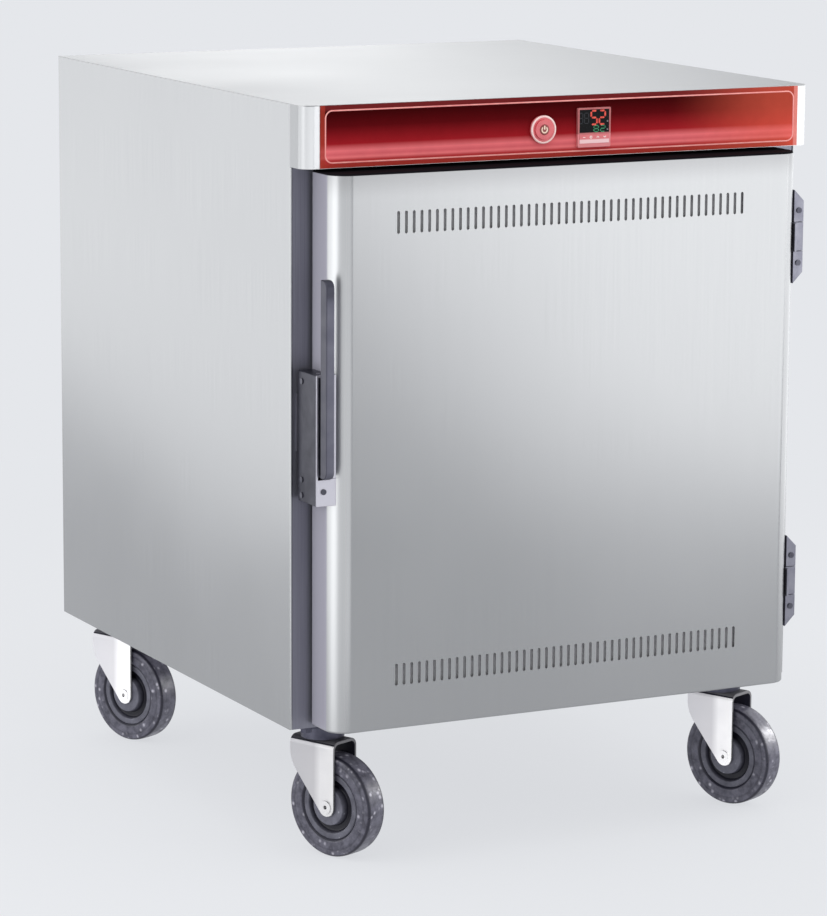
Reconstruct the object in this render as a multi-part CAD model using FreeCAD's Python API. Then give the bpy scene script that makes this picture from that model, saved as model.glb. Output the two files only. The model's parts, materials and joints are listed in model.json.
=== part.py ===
import FreeCAD, Part
import math
import os

os.makedirs("parts", exist_ok=True)
V = FreeCAD.Vector

# Driving dimensions of the cabinet, mm
BODY_W = 700.0           # side to side
BODY_D = 730.0           # door frame to back panel
BODY_H = 760.0           # base pan to top
CASTER_H = 171.0         # floor to base pan
HEAD_H = 75.0            # control head, height
HEAD_OUT = 35.0          # control head, ahead of the door frame
HEAD_R = 16.0            # control head, rounded corners
SHEET = 1.2              # outer sheet
LINER = 1.0              # chamber sheet
SIDE_WALL = 55.0         # insulated side and back
FLOOR_WALL = 62.0        # insulated floor
CEIL_WALL = 50.0         # insulated ceiling
FLANGE = 16.0            # return at the back of the side panels
BOLT_ROOM = 10.0         # clear height over the base pan for the caster nuts
CUT_FREE = 0.3           # around parts set in cut-outs
RUN_FIT = 0.05           # radial clearance of a turning fit
SCREW_R = 2.0
SCREW_FREE = 0.2         # radial clearance of a screw
OVER = 5.0               # how far a cutting tool runs past the sheet that it cuts
LAP = 1.0                # how far shapes that are joined run into each other
TIP_ROOM = 1.0           # spare depth of a hole past the tip of its screw

# Back panel
BACK_SCREW_COUNT = 4     # on each side, below the head
BACK_SCREW_IN = 9.6      # cabinet side to screw
BACK_SCREW_END = 60.0    # end of the row to the first screw
BACK_HEAD_R = 4.0
BACK_HEAD_T = 2.2
VENT_COUNT = 16
VENT_W = 5.0
VENT_H = 41.0
VENT_LEFT = 140.0        # cabinet side to first vent
VENT_RIGHT = 245.0       # last vent to cabinet side

# Door
DOOR_T = 60.0            # thickness
DOOR_GAP = 6.0           # door back to frame, filled by the gasket
DOOR_LEFT = 27.0         # cabinet side to door edge, left
DOOR_RIGHT = 31.0        # cabinet side to door edge, right
DOOR_TOP = 4.0           # under the head
DOOR_BOTTOM = 5.0        # over the base pan
DOOR_R = 25.0            # rounded upright edges
DOOR_EDGE_R = 2.5        # rounded top and bottom edges
SLOT_COUNT = 47
SLOT_W = 3.8
SLOT_H = 27.0
SLOT_SIDE = 84.0         # door edge to first slot
SLOT_TOP = 60.0          # door top to middle of the upper row
SLOT_BOTTOM = 67.0       # door bottom to middle of the lower row
SLOT_ROOM = 12.0         # slot end to door insulation
INNER_SLOT_COUNT = 24
INNER_SLOT_W = 6.0
GASKET_W = 14.0
GASKET_LAP = 3.0         # chamber opening to gasket
GASKET_R = 2.2
GASKET_FREE = 0.3        # gasket to frame

# Latch
HOUSING_W = 20.0
HOUSING_H = 158.0
HOUSING_FRONT = 58.0     # ahead of the door frame
HOUSING_BACK = 8.0       # ahead of the door frame
HOUSING_LOW = 280.0      # door bottom to housing bottom
HOUSING_WALL = 3.0
HOUSING_BASE = 1.5
HOUSING_R = 1.5
PAD_H = 32.0             # closed lower front of the housing
PIN_BACK = 17.0          # housing front to lever pin
PIN_R = 2.5
PIN_SINK = 8.0           # pin end below the pocket
LEVER_T = 11.0
LEVER_SET = 7.75         # lever side to pin axis
LEVER_OUT = 14.0         # lever ahead of the door front
LEVER_H = 238.0
LEVER_LIFT = 3.0         # lever bottom over the pad
LEVER_CLEAR = 1.0        # lever in the pocket, above and below
LEVER_SWING = 6.0        # lever to housing front, room for its swing
LEVER_R = 10.0
LEVER_RIM_R = 1.5
ARM_T = 7.0
ARM_SET = 0.75           # arm side to pin axis
ARM_LAP = 4.0
HUB_R = 6.0
TAIL_T = 4.0
TAIL_L = 18.0
TAIL_H = 30.0
MAGNET_T = 5.0
MAGNET_H = 50.0
MAGNET_IN = 4.0          # housing side to magnet
STRIKE_T = 2.0
STRIKE_H = 70.0
STRIKE_IN = 1.0
LATCH_HEAD_R = 3.5
LATCH_HEAD_T = 1.2
LATCH_SCREW_L = 14.0
LATCH_SCREW_BACK = 11.0  # housing back to side screws
LATCH_SCREW_TOP = 12.0   # housing top to upper screw
LATCH_SCREW_MID = 27.0   # housing bottom to middle screw
LATCH_SCREW_LOW = 8.0    # housing bottom to lower screw
PAD_SCREW_UP = 17.6      # housing bottom to front screw

# Hinges
HINGE_H = 118.0
HINGE_TOP = 109.0        # door top to hinge middle
HINGE_BOTTOM = 127.0     # door bottom to hinge middle
HINGE_HALF = 7.0         # half width of a knuckle
HINGE_REACH = 40.0       # frame to hinge axis
HINGE_MID = 18.0         # half height of the door knuckle
HINGE_FREE = 0.5
HINGE_SIDE = 1.0         # door leaf to cabinet knuckle
LEAF_T = 3.0
LEAF_HALF = 16.0
HINGE_BASE_T = 4.0
HINGE_BASE_IN = 4.0      # cabinet side to hinge base
HINGE_PIN_R = 3.0
HINGE_PIN_HALF = 29.0
HINGE_SCREW = 33.0       # hinge middle to screw
HINGE_SCREW_L = 14.0
HINGE_HEAD_R = 3.6
HINGE_HEAD_T = 1.4

# Control head
FASCIA_T = 1.5
FASCIA_LEFT = 23.0
FASCIA_RIGHT = 19.0
FASCIA_EDGE = 0.5
CONTROL_Z = 35.0         # head bottom to middle of the controls
BUTTON_X = -31.0
CONTROLLER_X = 39.0
BEZEL_W = 45.5
BEZEL_H = 48.0
BEZEL_T = 4.0
BEZEL_R = 1.5
BEZEL_LAP = 0.5
CASE = 43.0
CASE_D = 70.0
WINDOW_W = 41.0
WINDOW_H = 28.0
WINDOW_T = 1.4
WINDOW_GAP = 0.1
WINDOW_SINK = 0.3
STRIP_H = 11.0
STRIP_GAP = 2.0          # window to key strip
STRIP_PROUD = 0.3
RING_R = 17.0
RING_T = 4.0
RING_EDGE_R = 1.6
CAP_R = 12.3
CAP_FIT = 0.08
CAP_OUT = 2.0
CAP_L = 10.0
CAP_EDGE_R = 0.8
CAP_TRAVEL = 2.5
CAP_STOP = 0.6           # spare depth behind the pressed cap
BARREL_R = 14.5
BARREL_L = 26.0
BLOCK = 26.0
BLOCK_L = 17.0
GLAND_OUT = 10.0
GLAND_R = 10.0
GLAND_BORE = 5.0
GLAND_SIDE = 110.0
GLAND_NUT_R = 13.5
GLAND_NUT_T = 5.0
GLAND_TAIL = 9.0
GLAND_COLLAR_T = 5.0
GLAND_CAP_R = 11.0
GLAND_EDGE_R = 3.0
RELAY_BACK = 130.0       # door frame to the relay
RELAY_LEFT = 90.0        # controller to the relay's far side
RELAY_W = 45.0
RELAY_L = 60.0
RELAY_H = 28.0
TAB_COUNT = 3
TAB_R = 2.0
TAB_H = 6.0
TAB_STEP = 12.0
TAB_IN = 10.0
LIMIT_SIDE = 150.0       # cabinet side to the thermostat
LIMIT_W = 44.0
LIMIT_L = 38.0
LIMIT_H = 30.0
LIMIT_DISC_R = 9.0
LIMIT_DISC_T = 8.0
TERMINAL_BACK = 110.0    # back panel to the terminal block
TERMINAL_LEFT = 70.0     # gland to the block's far end
TERMINAL_L = 80.0
TERMINAL_W = 24.0
TERMINAL_H = 20.0
WAY_COUNT = 5
WAY_STEP = 14.0
WAY_W = 8.0
WAY_IN = 6.0
WAY_DEEP = 9.0
WAY_LOW = 8.0

# Chamber
RACK_T = 8.0
RACK_W = 16.0
RUNNER_R = 4.0
RUNNER_COUNT = 6
RUNNER_LOW = 110.0       # chamber floor to bottom runner
RUNNER_TOP = 103.0       # top runner to the ceiling
RUNNER_FRONT = 40.0      # door frame to runner ends
RUNNER_BACK = 20.0       # back wall to runner ends
POST_OVER = 40.0         # posts past the end runners
POST_IN = 60.0           # runner end to post
WELD = 0.6               # sink of welded wires
REST = 0.2               # between a rod and what it lies on
LOWER_SHELF_COUNT = 2    # the runner that the lower shelf lies on, counted from below
UPPER_SHELF_COUNT = 5
SHELF_IN = 10.0
SHELF_ROD_R = 4.0
SHELF_ROD_COUNT = 3
SHELF_ROD_END = 15.0     # runner end to outer rods
SHELF_WIRE_R = 2.0
SHELF_WIRE_COUNT = 19
SHELF_WIRE_SIDE = 22.0
SHELF_WIRE_END = 5.0
TUBE_R = 4.25
TUBE_Z = 22.0
TUBE_COUNT = 4
TUBE_STEP = 100.0
TUBE_FRONT = 150.0       # door frame to the front turns
TUBE_BACK = 90.0         # back wall to the rear turn
TUBE_TAIL = 22.0         # tube behind the back wall
STUD_R = 2.0
STUD_L = 14.0
WASHER_R = 12.0
WASHER_T = 3.0
STUD_ROOM_R = 14.0       # hollow in the insulation round the studs
STUD_ROOM_L = 44.0
SADDLE_W = 12.0
SADDLE_SIDE = 12.0
SADDLE_IN = 30.0         # tube turn to saddle
SADDLE_GRIP = 1.5
GUARD_Z = 44.0
GUARD_HALF = 205.0
GUARD_FRONT = 70.0       # door frame to guard
GUARD_BACK = 30.0        # back wall to guard
GUARD_LIP = 24.0
LOUVRE_COUNT = 9
LOUVRE_W = 8.0
LOUVRE_SIDE = 45.0
LOUVRE_END = 60.0
PROBE_R = 3.0
PROBE_L = 70.0
PROBE_SIDE = 95.0        # chamber wall to probe
PROBE_TOP = 80.0         # ceiling to probe
PROBE_TAIL = 20.0
PROBE_BOSS_R = 9.0
PROBE_BOSS_T = 4.0
PROBE_ROOM_R = 8.0
PROBE_ROOM_L = 30.0

# Casters
CASTER_SIDE = 66.0       # cabinet side to swivel axis
CASTER_END = 46.0        # frame or back to swivel axis
WHEEL_R = 64.0
TRAIL = 24.0
SWIVEL_REST = 24.0       # degrees, how far the wheels are turned
PLATE_X = 92.0
PLATE_Y = 78.0
PLATE_T = 4.0
PLATE_R = 8.0
BOLT_X = 72.0
BOLT_Y = 58.0
BOLT_R = 4.0
BOLT_FREE = 0.25
BOLT_HEX = 13.0
BOLT_HEAD_T = 5.3
NUT_T = 6.5
BOLT_OVER = 7.0          # bolt end over the base pan
RACE_H = 20.0
RACE_OUT = 27.0
RACE_IN = 14.0
SWIVEL_FREE = 0.3
KING_R = 6.0
KING_HEAD_R = 10.0
KING_HEAD_T = 5.0
CROWN_T = 4.0
LEG_T = 3.0
FORK_HALF = 22.0
FORK_BACK = 34.0         # swivel axis to the back of the fork
FORK_BOSS = 12.0
FORK_BEND = 10.0
FORK_SHOULDER = 16.5     # crown top to the curve of the back edge
FORK_CURVE = 42.0
AXLE_R = 5.0
SLEEVE_R = 7.0
SLEEVE_FREE = 0.1
AXLE_HEAD_R = 8.0
AXLE_HEAD_T = 1.5
AXLE_BORE = 2.5
SIDE_FREE = 0.8          # wheel hub to fork leg
HUB_FACE_R = 24.0
HUB_EDGE = 1.0
WEB_HALF = 8.0
RIM_IN = 32.0
RIM_STEP = 2.0           # rim below the tyre's side
TYRE_IN = 42.0
TYRE_W = 32.0
TYRE_FIT = 0.05
TYRE_GROOVE = 1.5
TYRE_R = 6.0             # tyre shoulder

# Planes that follow from them
left = -BODY_W / 2
right = BODY_W / 2
floor_z = CASTER_H
top_z = CASTER_H + BODY_H
head_z = top_z - HEAD_H
front_end = -(DOOR_GAP + DOOR_T + LEVER_OUT)
back_end = BODY_D + GLAND_OUT
jamb = -(front_end + back_end) / 2
back = jamb + BODY_D
flange_y = back - 2 * SHEET
pan_top = floor_z + SHEET
deck_top = head_z + SHEET
cav_x = BODY_W / 2 - SIDE_WALL
cav_z0 = floor_z + FLOOR_WALL
cav_z1 = head_z - CEIL_WALL
cav_y0 = jamb + SHEET
cav_y1 = back - SIDE_WALL
door_x0 = left + DOOR_LEFT
door_x1 = right - DOOR_RIGHT
door_yb = jamb - DOOR_GAP
door_yf = door_yb - DOOR_T
door_z0 = floor_z + DOOR_BOTTOM
door_z1 = head_z - DOOR_TOP
hood_y = jamb - HEAD_OUT
fascia_y = hood_y - FASCIA_T
control_z = head_z + CONTROL_Z
gland_x = right - GLAND_SIDE
gland_z = head_z + HEAD_H / 2
saved = []


def box(x0, x1, y0, y1, z0, z1):
    return Part.makeBox(x1 - x0, y1 - y0, z1 - z0, V(x0, y0, z0))


def rod(r, start, end):
    way = end - start
    return Part.makeCylinder(r, way.Length, start, way)


def rod_x(r, x0, x1, y, z):
    return rod(r, V(x0, y, z), V(x1, y, z))


def rod_y(r, x, y0, y1, z):
    return rod(r, V(x, y0, z), V(x, y1, z))


def rod_z(r, x, y, z0, z1):
    return rod(r, V(x, y, z0), V(x, y, z1))


def arc(start, middle, end):
    return Part.Arc(start, middle, end).toShape()


def rounded_front(x0, x1, yf, yb, z0, z1, r):
    # Plan outline with both front corners rounded, raised from z0 to z1
    c = r - r * math.sqrt(0.5)
    edges = [
        Part.makeLine(V(x0, yb, z0), V(x0, yf + r, z0)),
        arc(V(x0, yf + r, z0), V(x0 + c, yf + c, z0), V(x0 + r, yf, z0)),
        Part.makeLine(V(x0 + r, yf, z0), V(x1 - r, yf, z0)),
        arc(V(x1 - r, yf, z0), V(x1 - c, yf + c, z0), V(x1, yf + r, z0)),
        Part.makeLine(V(x1, yf + r, z0), V(x1, yb, z0)),
        Part.makeLine(V(x1, yb, z0), V(x0, yb, z0)),
    ]
    return Part.Face(Part.Wire(edges)).extrude(V(0, 0, z1 - z0))


def slot(x, z, w, h, y0, y1):
    # Upright slot with round ends, cut along Y
    r = w / 2
    a = h / 2 - r
    edges = [
        Part.makeLine(V(x - r, y0, z - a), V(x - r, y0, z + a)),
        arc(V(x - r, y0, z + a), V(x, y0, z + a + r), V(x + r, y0, z + a)),
        Part.makeLine(V(x + r, y0, z + a), V(x + r, y0, z - a)),
        arc(V(x + r, y0, z - a), V(x, y0, z - a - r), V(x - r, y0, z - a)),
    ]
    return Part.Face(Part.Wire(edges)).extrude(V(0, y1 - y0, 0))


def hexagon(across, centre, height):
    r = across / math.sqrt(3)
    corners = [math.radians(a) for a in range(0, 361, 60)]
    points = [centre + V(r * math.cos(a), r * math.sin(a), 0) for a in corners]
    return Part.Face(Part.makePolygon(points)).extrude(V(0, 0, height))


def row(count, x0, x1):
    return [x0 + (x1 - x0) * i / (count - 1) for i in range(count)]


def fuse(shapes):
    return shapes[0].multiFuse(shapes[1:]).removeSplitter()


def group(shapes):
    return Part.makeCompound(shapes)


def round_edges(shape, r, chosen):
    return shape.makeFillet(r, [e for e in shape.Edges if chosen(e.BoundBox)])


def save(name, shape):
    shape.exportStep("parts/" + name + ".step")
    saved.append(name)


# Side, top and back panels with their screws
screw_places = []
for x in (left + BACK_SCREW_IN, right - BACK_SCREW_IN):
    for z in row(BACK_SCREW_COUNT, floor_z + BACK_SCREW_END, head_z - BACK_SCREW_END) + [gland_z]:
        screw_places.append((x, z))
screw_holes = [rod_y(SCREW_R + CUT_FREE, x, flange_y - OVER, back + OVER, z) for x, z in screw_places]
for name, edge, inward in (("left_side_panel", left, 1), ("right_side_panel", right, -1)):
    x0, x1 = sorted((edge, edge + inward * SHEET))
    lip_x0, lip_x1 = sorted((edge + inward * SHEET, edge + inward * FLANGE))
    sheet = box(x0, x1, jamb, back - SHEET, floor_z, top_z - SHEET)
    lip = box(lip_x0, lip_x1, flange_y, back - SHEET, pan_top, top_z - SHEET)
    save(name, fuse([sheet, lip]).cut(group(screw_holes)))
save("top_panel", rounded_front(left, right, hood_y, back, top_z - SHEET, top_z, HEAD_R))
panel = box(left, right, back - SHEET, back, floor_z, top_z - SHEET)
vents = [slot(x, gland_z, VENT_W, VENT_H, back - OVER, back + OVER)
         for x in row(VENT_COUNT, left + VENT_LEFT, right - VENT_RIGHT)]
gland_hole = rod_y(GLAND_R + CUT_FREE, gland_x, back - OVER, back + OVER, gland_z)
save("back_panel", panel.cut(group(vents + screw_holes + [gland_hole])))
cabinet_screws = []
for x, z in screw_places:
    head = rod_y(BACK_HEAD_R, x, back, back + BACK_HEAD_T, z)
    cabinet_screws.append(fuse([head, rod_y(SCREW_R, x, flange_y, back + BACK_HEAD_T / 2, z)]))

# Base pan and the caster bolts
swivels = {
    "front_left": (left + CASTER_SIDE, jamb + CASTER_END),
    "front_right": (right - CASTER_SIDE, jamb + CASTER_END),
    "rear_left": (left + CASTER_SIDE, back - CASTER_END),
    "rear_right": (right - CASTER_SIDE, back - CASTER_END),
}
plate_z = floor_z - PLATE_T
bolt_places = []
for sx, sy in swivels.values():
    for x in (sx - BOLT_X / 2, sx + BOLT_X / 2):
        for y in (sy - BOLT_Y / 2, sy + BOLT_Y / 2):
            bolt_places.append((x, y))
bolt_holes = group([rod_z(BOLT_R + BOLT_FREE, x, y, plate_z - OVER, pan_top + OVER) for x, y in bolt_places])
pan = box(left + SHEET, right - SHEET, cav_y0, back - SHEET, floor_z, pan_top)
save("base_pan", pan.cut(bolt_holes))
bolts = []
for x, y in bolt_places:
    head = hexagon(BOLT_HEX, V(x, y, plate_z - BOLT_HEAD_T), BOLT_HEAD_T)
    shank = rod_z(BOLT_R, x, y, plate_z - BOLT_HEAD_T / 2, pan_top + BOLT_OVER)
    nut = hexagon(BOLT_HEX, V(x, y, pan_top), NUT_T)
    bolts.append(fuse([head, shank, nut]))
save("caster_bolts", group(bolts))

# Door frame, chamber liner and insulation
frame = box(left + SHEET, right - SHEET, jamb, cav_y0, floor_z, head_z)
opening = box(-cav_x, cav_x, jamb - OVER, cav_y0 + OVER, cav_z0, cav_z1)
save("front_frame", frame.cut(opening))
tube_half = TUBE_STEP * (TUBE_COUNT - 1) / 2
tube_x = row(TUBE_COUNT, -tube_half, tube_half)
tube_ends = (tube_x[0], tube_x[-1])
tube_z = cav_z0 + TUBE_Z
probe_x = cav_x - PROBE_SIDE
probe_z = cav_z1 - PROBE_TOP
wall_y = cav_y1 + LINER
wide = cav_x + LINER
wall_holes = [rod_y(TUBE_R + CUT_FREE, x, cav_y1 - OVER, wall_y + OVER, tube_z) for x in tube_ends]
wall_holes.append(rod_y(PROBE_R + CUT_FREE, probe_x, cav_y1 - OVER, wall_y + OVER, probe_z))
save("inner_liner", group([
    box(-wide, -cav_x, cav_y0, cav_y1, cav_z0, cav_z1),
    box(cav_x, wide, cav_y0, cav_y1, cav_z0, cav_z1),
    box(-wide, wide, cav_y1, wall_y, cav_z0, cav_z1).cut(group(wall_holes)),
    box(-wide, wide, cav_y0, wall_y, cav_z0 - LINER, cav_z0),
    box(-wide, wide, cav_y0, wall_y, cav_z1, cav_z1 + LINER),
]))
board_z = pan_top + BOLT_ROOM
board_holes = [rod_y(STUD_ROOM_R, x, cav_y1, cav_y1 + STUD_ROOM_L, tube_z) for x in tube_ends]
board_holes.append(rod_y(PROBE_ROOM_R, probe_x, cav_y1, cav_y1 + PROBE_ROOM_L, probe_z))
back_board = box(-wide, wide, wall_y, flange_y, cav_z0 - LINER, cav_z1 + LINER)
save("insulation_boards", group([
    box(left + SHEET, -wide, cav_y0, flange_y, board_z, head_z),
    box(wide, right - SHEET, cav_y0, flange_y, board_z, head_z),
    back_board.cut(group(board_holes)),
    box(-wide, wide, cav_y0, flange_y, board_z, cav_z0 - LINER),
    box(-wide, wide, cav_y0, flange_y, cav_z1 + LINER, head_z),
]))

# Control head: deck, hood and fascia
save("control_deck", box(left + SHEET, right - SHEET, jamb, flange_y, head_z, deck_top))
half_w = BEZEL_W / 2
half_h = BEZEL_H / 2
half_case = CASE / 2
half_cut = half_case + CUT_FREE
case_cut = box(CONTROLLER_X - half_cut, CONTROLLER_X + half_cut, fascia_y - OVER, hood_y + OVER,
               control_z - half_cut, control_z + half_cut)
barrel_cut = rod_y(BARREL_R + CUT_FREE, BUTTON_X, fascia_y - OVER, hood_y + OVER, control_z)
outer = rounded_front(left, right, hood_y, jamb, head_z, top_z - SHEET, HEAD_R)
inner = rounded_front(left + SHEET, right - SHEET, hood_y + SHEET, jamb + OVER,
                      deck_top, top_z + OVER, HEAD_R - SHEET)
save("control_hood", outer.cut(inner).cut(case_cut).cut(barrel_cut))
fascia = box(left + FASCIA_LEFT, right - FASCIA_RIGHT, fascia_y, hood_y,
             head_z + FASCIA_EDGE, top_z - FASCIA_EDGE)
save("fascia_panel", fascia.cut(case_cut).cut(barrel_cut))

# Temperature controller
bezel_y = fascia_y - BEZEL_T
win_x0 = CONTROLLER_X - WINDOW_W / 2
win_x1 = CONTROLLER_X + WINDOW_W / 2
win_z1 = control_z + half_h - (BEZEL_W - WINDOW_W) / 2
win_z0 = win_z1 - WINDOW_H
strip_z1 = win_z0 - STRIP_GAP
strip_z0 = strip_z1 - STRIP_H
bezel = box(CONTROLLER_X - half_w, CONTROLLER_X + half_w, bezel_y, fascia_y,
            control_z - half_h, control_z + half_h)
bezel = round_edges(bezel, BEZEL_R, lambda b: b.XLength + b.ZLength < 0.01)
case = box(CONTROLLER_X - half_case, CONTROLLER_X + half_case, fascia_y - BEZEL_LAP, fascia_y + CASE_D,
           control_z - half_case, control_z + half_case)
seat_y = bezel_y + WINDOW_T
win_cut = box(win_x0, win_x1, bezel_y - OVER, seat_y, win_z0, win_z1)
strip_cut = box(win_x0, win_x1, bezel_y - OVER, seat_y, strip_z0, strip_z1)
save("controller_case", fuse([bezel, case]).cut(win_cut).cut(strip_cut))
pane_x0 = win_x0 + WINDOW_GAP
pane_x1 = win_x1 - WINDOW_GAP
save("display_window", box(pane_x0, pane_x1, bezel_y + WINDOW_SINK, seat_y,
                           win_z0 + WINDOW_GAP, win_z1 - WINDOW_GAP))
save("key_strip", box(pane_x0, pane_x1, bezel_y - STRIP_PROUD, seat_y,
                      strip_z0 + WINDOW_GAP, strip_z1 - WINDOW_GAP))

# Power switch: ring, barrel and contact block, with the cap in its well
ring_y = fascia_y - RING_T
cap_y = ring_y - CAP_OUT
ring = rod_y(RING_R, BUTTON_X, ring_y, fascia_y, control_z)
ring = round_edges(ring, RING_EDGE_R, lambda b: b.YMax < ring_y + 0.01 and b.XLength > RING_R)
barrel = rod_y(BARREL_R, BUTTON_X, fascia_y - BEZEL_LAP, fascia_y + BARREL_L, control_z)
barrel_end = fascia_y + BARREL_L
block = box(BUTTON_X - BLOCK / 2, BUTTON_X + BLOCK / 2, barrel_end - BEZEL_LAP, barrel_end + BLOCK_L,
            control_z - BLOCK / 2, control_z + BLOCK / 2)
well = rod_y(CAP_R + CAP_FIT, BUTTON_X, ring_y - OVER, cap_y + CAP_L + CAP_TRAVEL + CAP_STOP, control_z)
save("switch_body", fuse([ring, barrel, block]).cut(well))
cap = rod_y(CAP_R, BUTTON_X, cap_y, cap_y + CAP_L, control_z)
save("power_button", round_edges(cap, CAP_EDGE_R, lambda b: b.YMax < cap_y + 0.01))

# Electrics on the deck
relay_x = CONTROLLER_X - RELAY_LEFT
relay_y = jamb + RELAY_BACK
relay_top = deck_top + RELAY_H
tabs = [rod_z(TAB_R, relay_x + TAB_IN + i * TAB_STEP, relay_y + TAB_IN, relay_top - TAB_R, relay_top + TAB_H)
        for i in range(TAB_COUNT)]
save("relay", fuse([box(relay_x, relay_x + RELAY_W, relay_y, relay_y + RELAY_L, deck_top, relay_top)] + tabs))
term_x = gland_x - TERMINAL_LEFT
term_y = back - TERMINAL_BACK
term_top = deck_top + TERMINAL_H
ways = []
for i in range(WAY_COUNT):
    way_x = term_x + WAY_IN + i * WAY_STEP
    ways.append(box(way_x, way_x + WAY_W, term_y - OVER, term_y + WAY_DEEP,
                    deck_top + WAY_LOW, term_top + OVER))
terminal = box(term_x, term_x + TERMINAL_L, term_y, term_y + TERMINAL_W, deck_top, term_top)
save("terminal_block", terminal.cut(group(ways)))
limit_x = left + LIMIT_SIDE
limit_top = deck_top + LIMIT_H
save("high_limit_thermostat", fuse([
    box(limit_x - LIMIT_W / 2, limit_x + LIMIT_W / 2, relay_y, relay_y + LIMIT_L, deck_top, limit_top),
    rod_z(LIMIT_DISC_R, limit_x, relay_y + LIMIT_L / 2, limit_top - LAP, limit_top + LIMIT_DISC_T),
]))
gland_in = back - SHEET
gland_end = back + GLAND_OUT
collar_y = back + GLAND_COLLAR_T
gland = fuse([
    rod_y(GLAND_R, gland_x, gland_in - GLAND_TAIL, collar_y, gland_z),
    rod_y(GLAND_NUT_R, gland_x, gland_in - GLAND_NUT_T, gland_in, gland_z),
    rod_y(GLAND_NUT_R, gland_x, back, collar_y, gland_z),
    rod_y(GLAND_CAP_R, gland_x, collar_y - LAP, gland_end, gland_z),
])
gland = round_edges(gland, GLAND_EDGE_R, lambda b: b.YMin > gland_end - 0.01 and b.XLength > GLAND_R)
bore = rod_y(GLAND_BORE, gland_x, gland_in - GLAND_TAIL - OVER, gland_end + OVER, gland_z)
save("cable_gland", gland.cut(bore))

# Heating element: one bent tube with its washers, studs and saddles
turn_front = jamb + TUBE_FRONT
turn_back = cav_y1 - TUBE_BACK
tail_y = cav_y1 + TUBE_TAIL
bend = TUBE_STEP / 2
path = []
y = tail_y
for i, x in enumerate(tube_x):
    ahead = i % 2 == 0
    last = i == TUBE_COUNT - 1
    turn_y = tail_y if last else (turn_front if ahead else turn_back)
    path.append(Part.makeLine(V(x, y, tube_z), V(x, turn_y, tube_z)))
    if not last:
        crest = turn_y - bend if ahead else turn_y + bend
        path.append(arc(V(x, turn_y, tube_z), V(x + bend, crest, tube_z), V(tube_x[i + 1], turn_y, tube_z)))
    y = turn_y
section = Part.Wire([Part.makeCircle(TUBE_R, V(tube_x[0], tail_y, tube_z), V(0, 1, 0))])
element = [Part.Wire(path).makePipeShell([section], True, False)]
for x in tube_ends:
    element.append(rod_y(WASHER_R, x, cav_y1 - WASHER_T, cav_y1, tube_z))
    element.append(rod_y(STUD_R, x, tail_y - LAP, tail_y + STUD_L, tube_z))
for y in (turn_front + SADDLE_IN, turn_back - SADDLE_IN):
    element.append(box(tube_x[0] - SADDLE_SIDE, tube_x[-1] + SADDLE_SIDE, y - SADDLE_W / 2, y + SADDLE_W / 2,
                       cav_z0, tube_z - TUBE_R + SADDLE_GRIP))
save("heating_element", fuse(element))

# Guard over the element, and the probe
guard_y0 = jamb + GUARD_FRONT
guard_y1 = cav_y1 - GUARD_BACK
guard_z = cav_z0 + GUARD_Z
guard_top = guard_z + SHEET
guard = fuse([
    box(-GUARD_HALF, GUARD_HALF, guard_y0, guard_y1, guard_z, guard_top),
    box(-GUARD_HALF, -GUARD_HALF + SHEET, guard_y0, guard_y1, cav_z0, guard_top),
    box(GUARD_HALF - SHEET, GUARD_HALF, guard_y0, guard_y1, cav_z0, guard_top),
    box(-GUARD_HALF, GUARD_HALF, guard_y0, guard_y0 + SHEET, guard_z - GUARD_LIP, guard_top),
])
louvres = [box(x - LOUVRE_W / 2, x + LOUVRE_W / 2, guard_y0 + LOUVRE_END, guard_y1 - LOUVRE_END,
               guard_z - OVER, guard_top + OVER)
           for x in row(LOUVRE_COUNT, -GUARD_HALF + LOUVRE_SIDE, GUARD_HALF - LOUVRE_SIDE)]
save("element_guard", guard.cut(group(louvres)))
save("temperature_probe", fuse([
    rod_y(PROBE_R, probe_x, cav_y1 - PROBE_L, cav_y1 + PROBE_TAIL, probe_z),
    rod_y(PROBE_BOSS_R, probe_x, cav_y1 - PROBE_BOSS_T, cav_y1, probe_z),
]))

# Racks and wire shelves
runner_z = row(RUNNER_COUNT, cav_z0 + RUNNER_LOW, cav_z1 - RUNNER_TOP)
runner_y0 = jamb + RUNNER_FRONT
runner_y1 = cav_y1 - RUNNER_BACK
post_y = (runner_y0 + POST_IN, runner_y1 - POST_IN)
for name, side in (("left_rack", -1), ("right_rack", 1)):
    x0, x1 = sorted((side * cav_x, side * (cav_x - RACK_T)))
    rack = [box(x0, x1, y - RACK_W / 2, y + RACK_W / 2, runner_z[0] - POST_OVER, runner_z[-1] + POST_OVER)
            for y in post_y]
    runner_x = side * (cav_x - RACK_T - RUNNER_R + WELD)
    rack += [rod_y(RUNNER_R, runner_x, runner_y0, runner_y1, z) for z in runner_z]
    save(name, fuse(rack))
shelf_half = cav_x - SHELF_IN
for name, count in (("lower_shelf", LOWER_SHELF_COUNT), ("upper_shelf", UPPER_SHELF_COUNT)):
    rod_mid = runner_z[count - 1] + RUNNER_R + REST + SHELF_ROD_R
    wire_mid = rod_mid + SHELF_ROD_R + SHELF_WIRE_R - WELD
    shelf = [rod_x(SHELF_ROD_R, -shelf_half, shelf_half, y, rod_mid)
             for y in row(SHELF_ROD_COUNT, runner_y0 + SHELF_ROD_END, runner_y1 - SHELF_ROD_END)]
    shelf += [rod_y(SHELF_WIRE_R, x, runner_y0 + SHELF_WIRE_END, runner_y1 - SHELF_WIRE_END, wire_mid)
              for x in row(SHELF_WIRE_COUNT, -shelf_half + SHELF_WIRE_SIDE, shelf_half - SHELF_WIRE_SIDE)]
    save(name, fuse(shelf))

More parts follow.
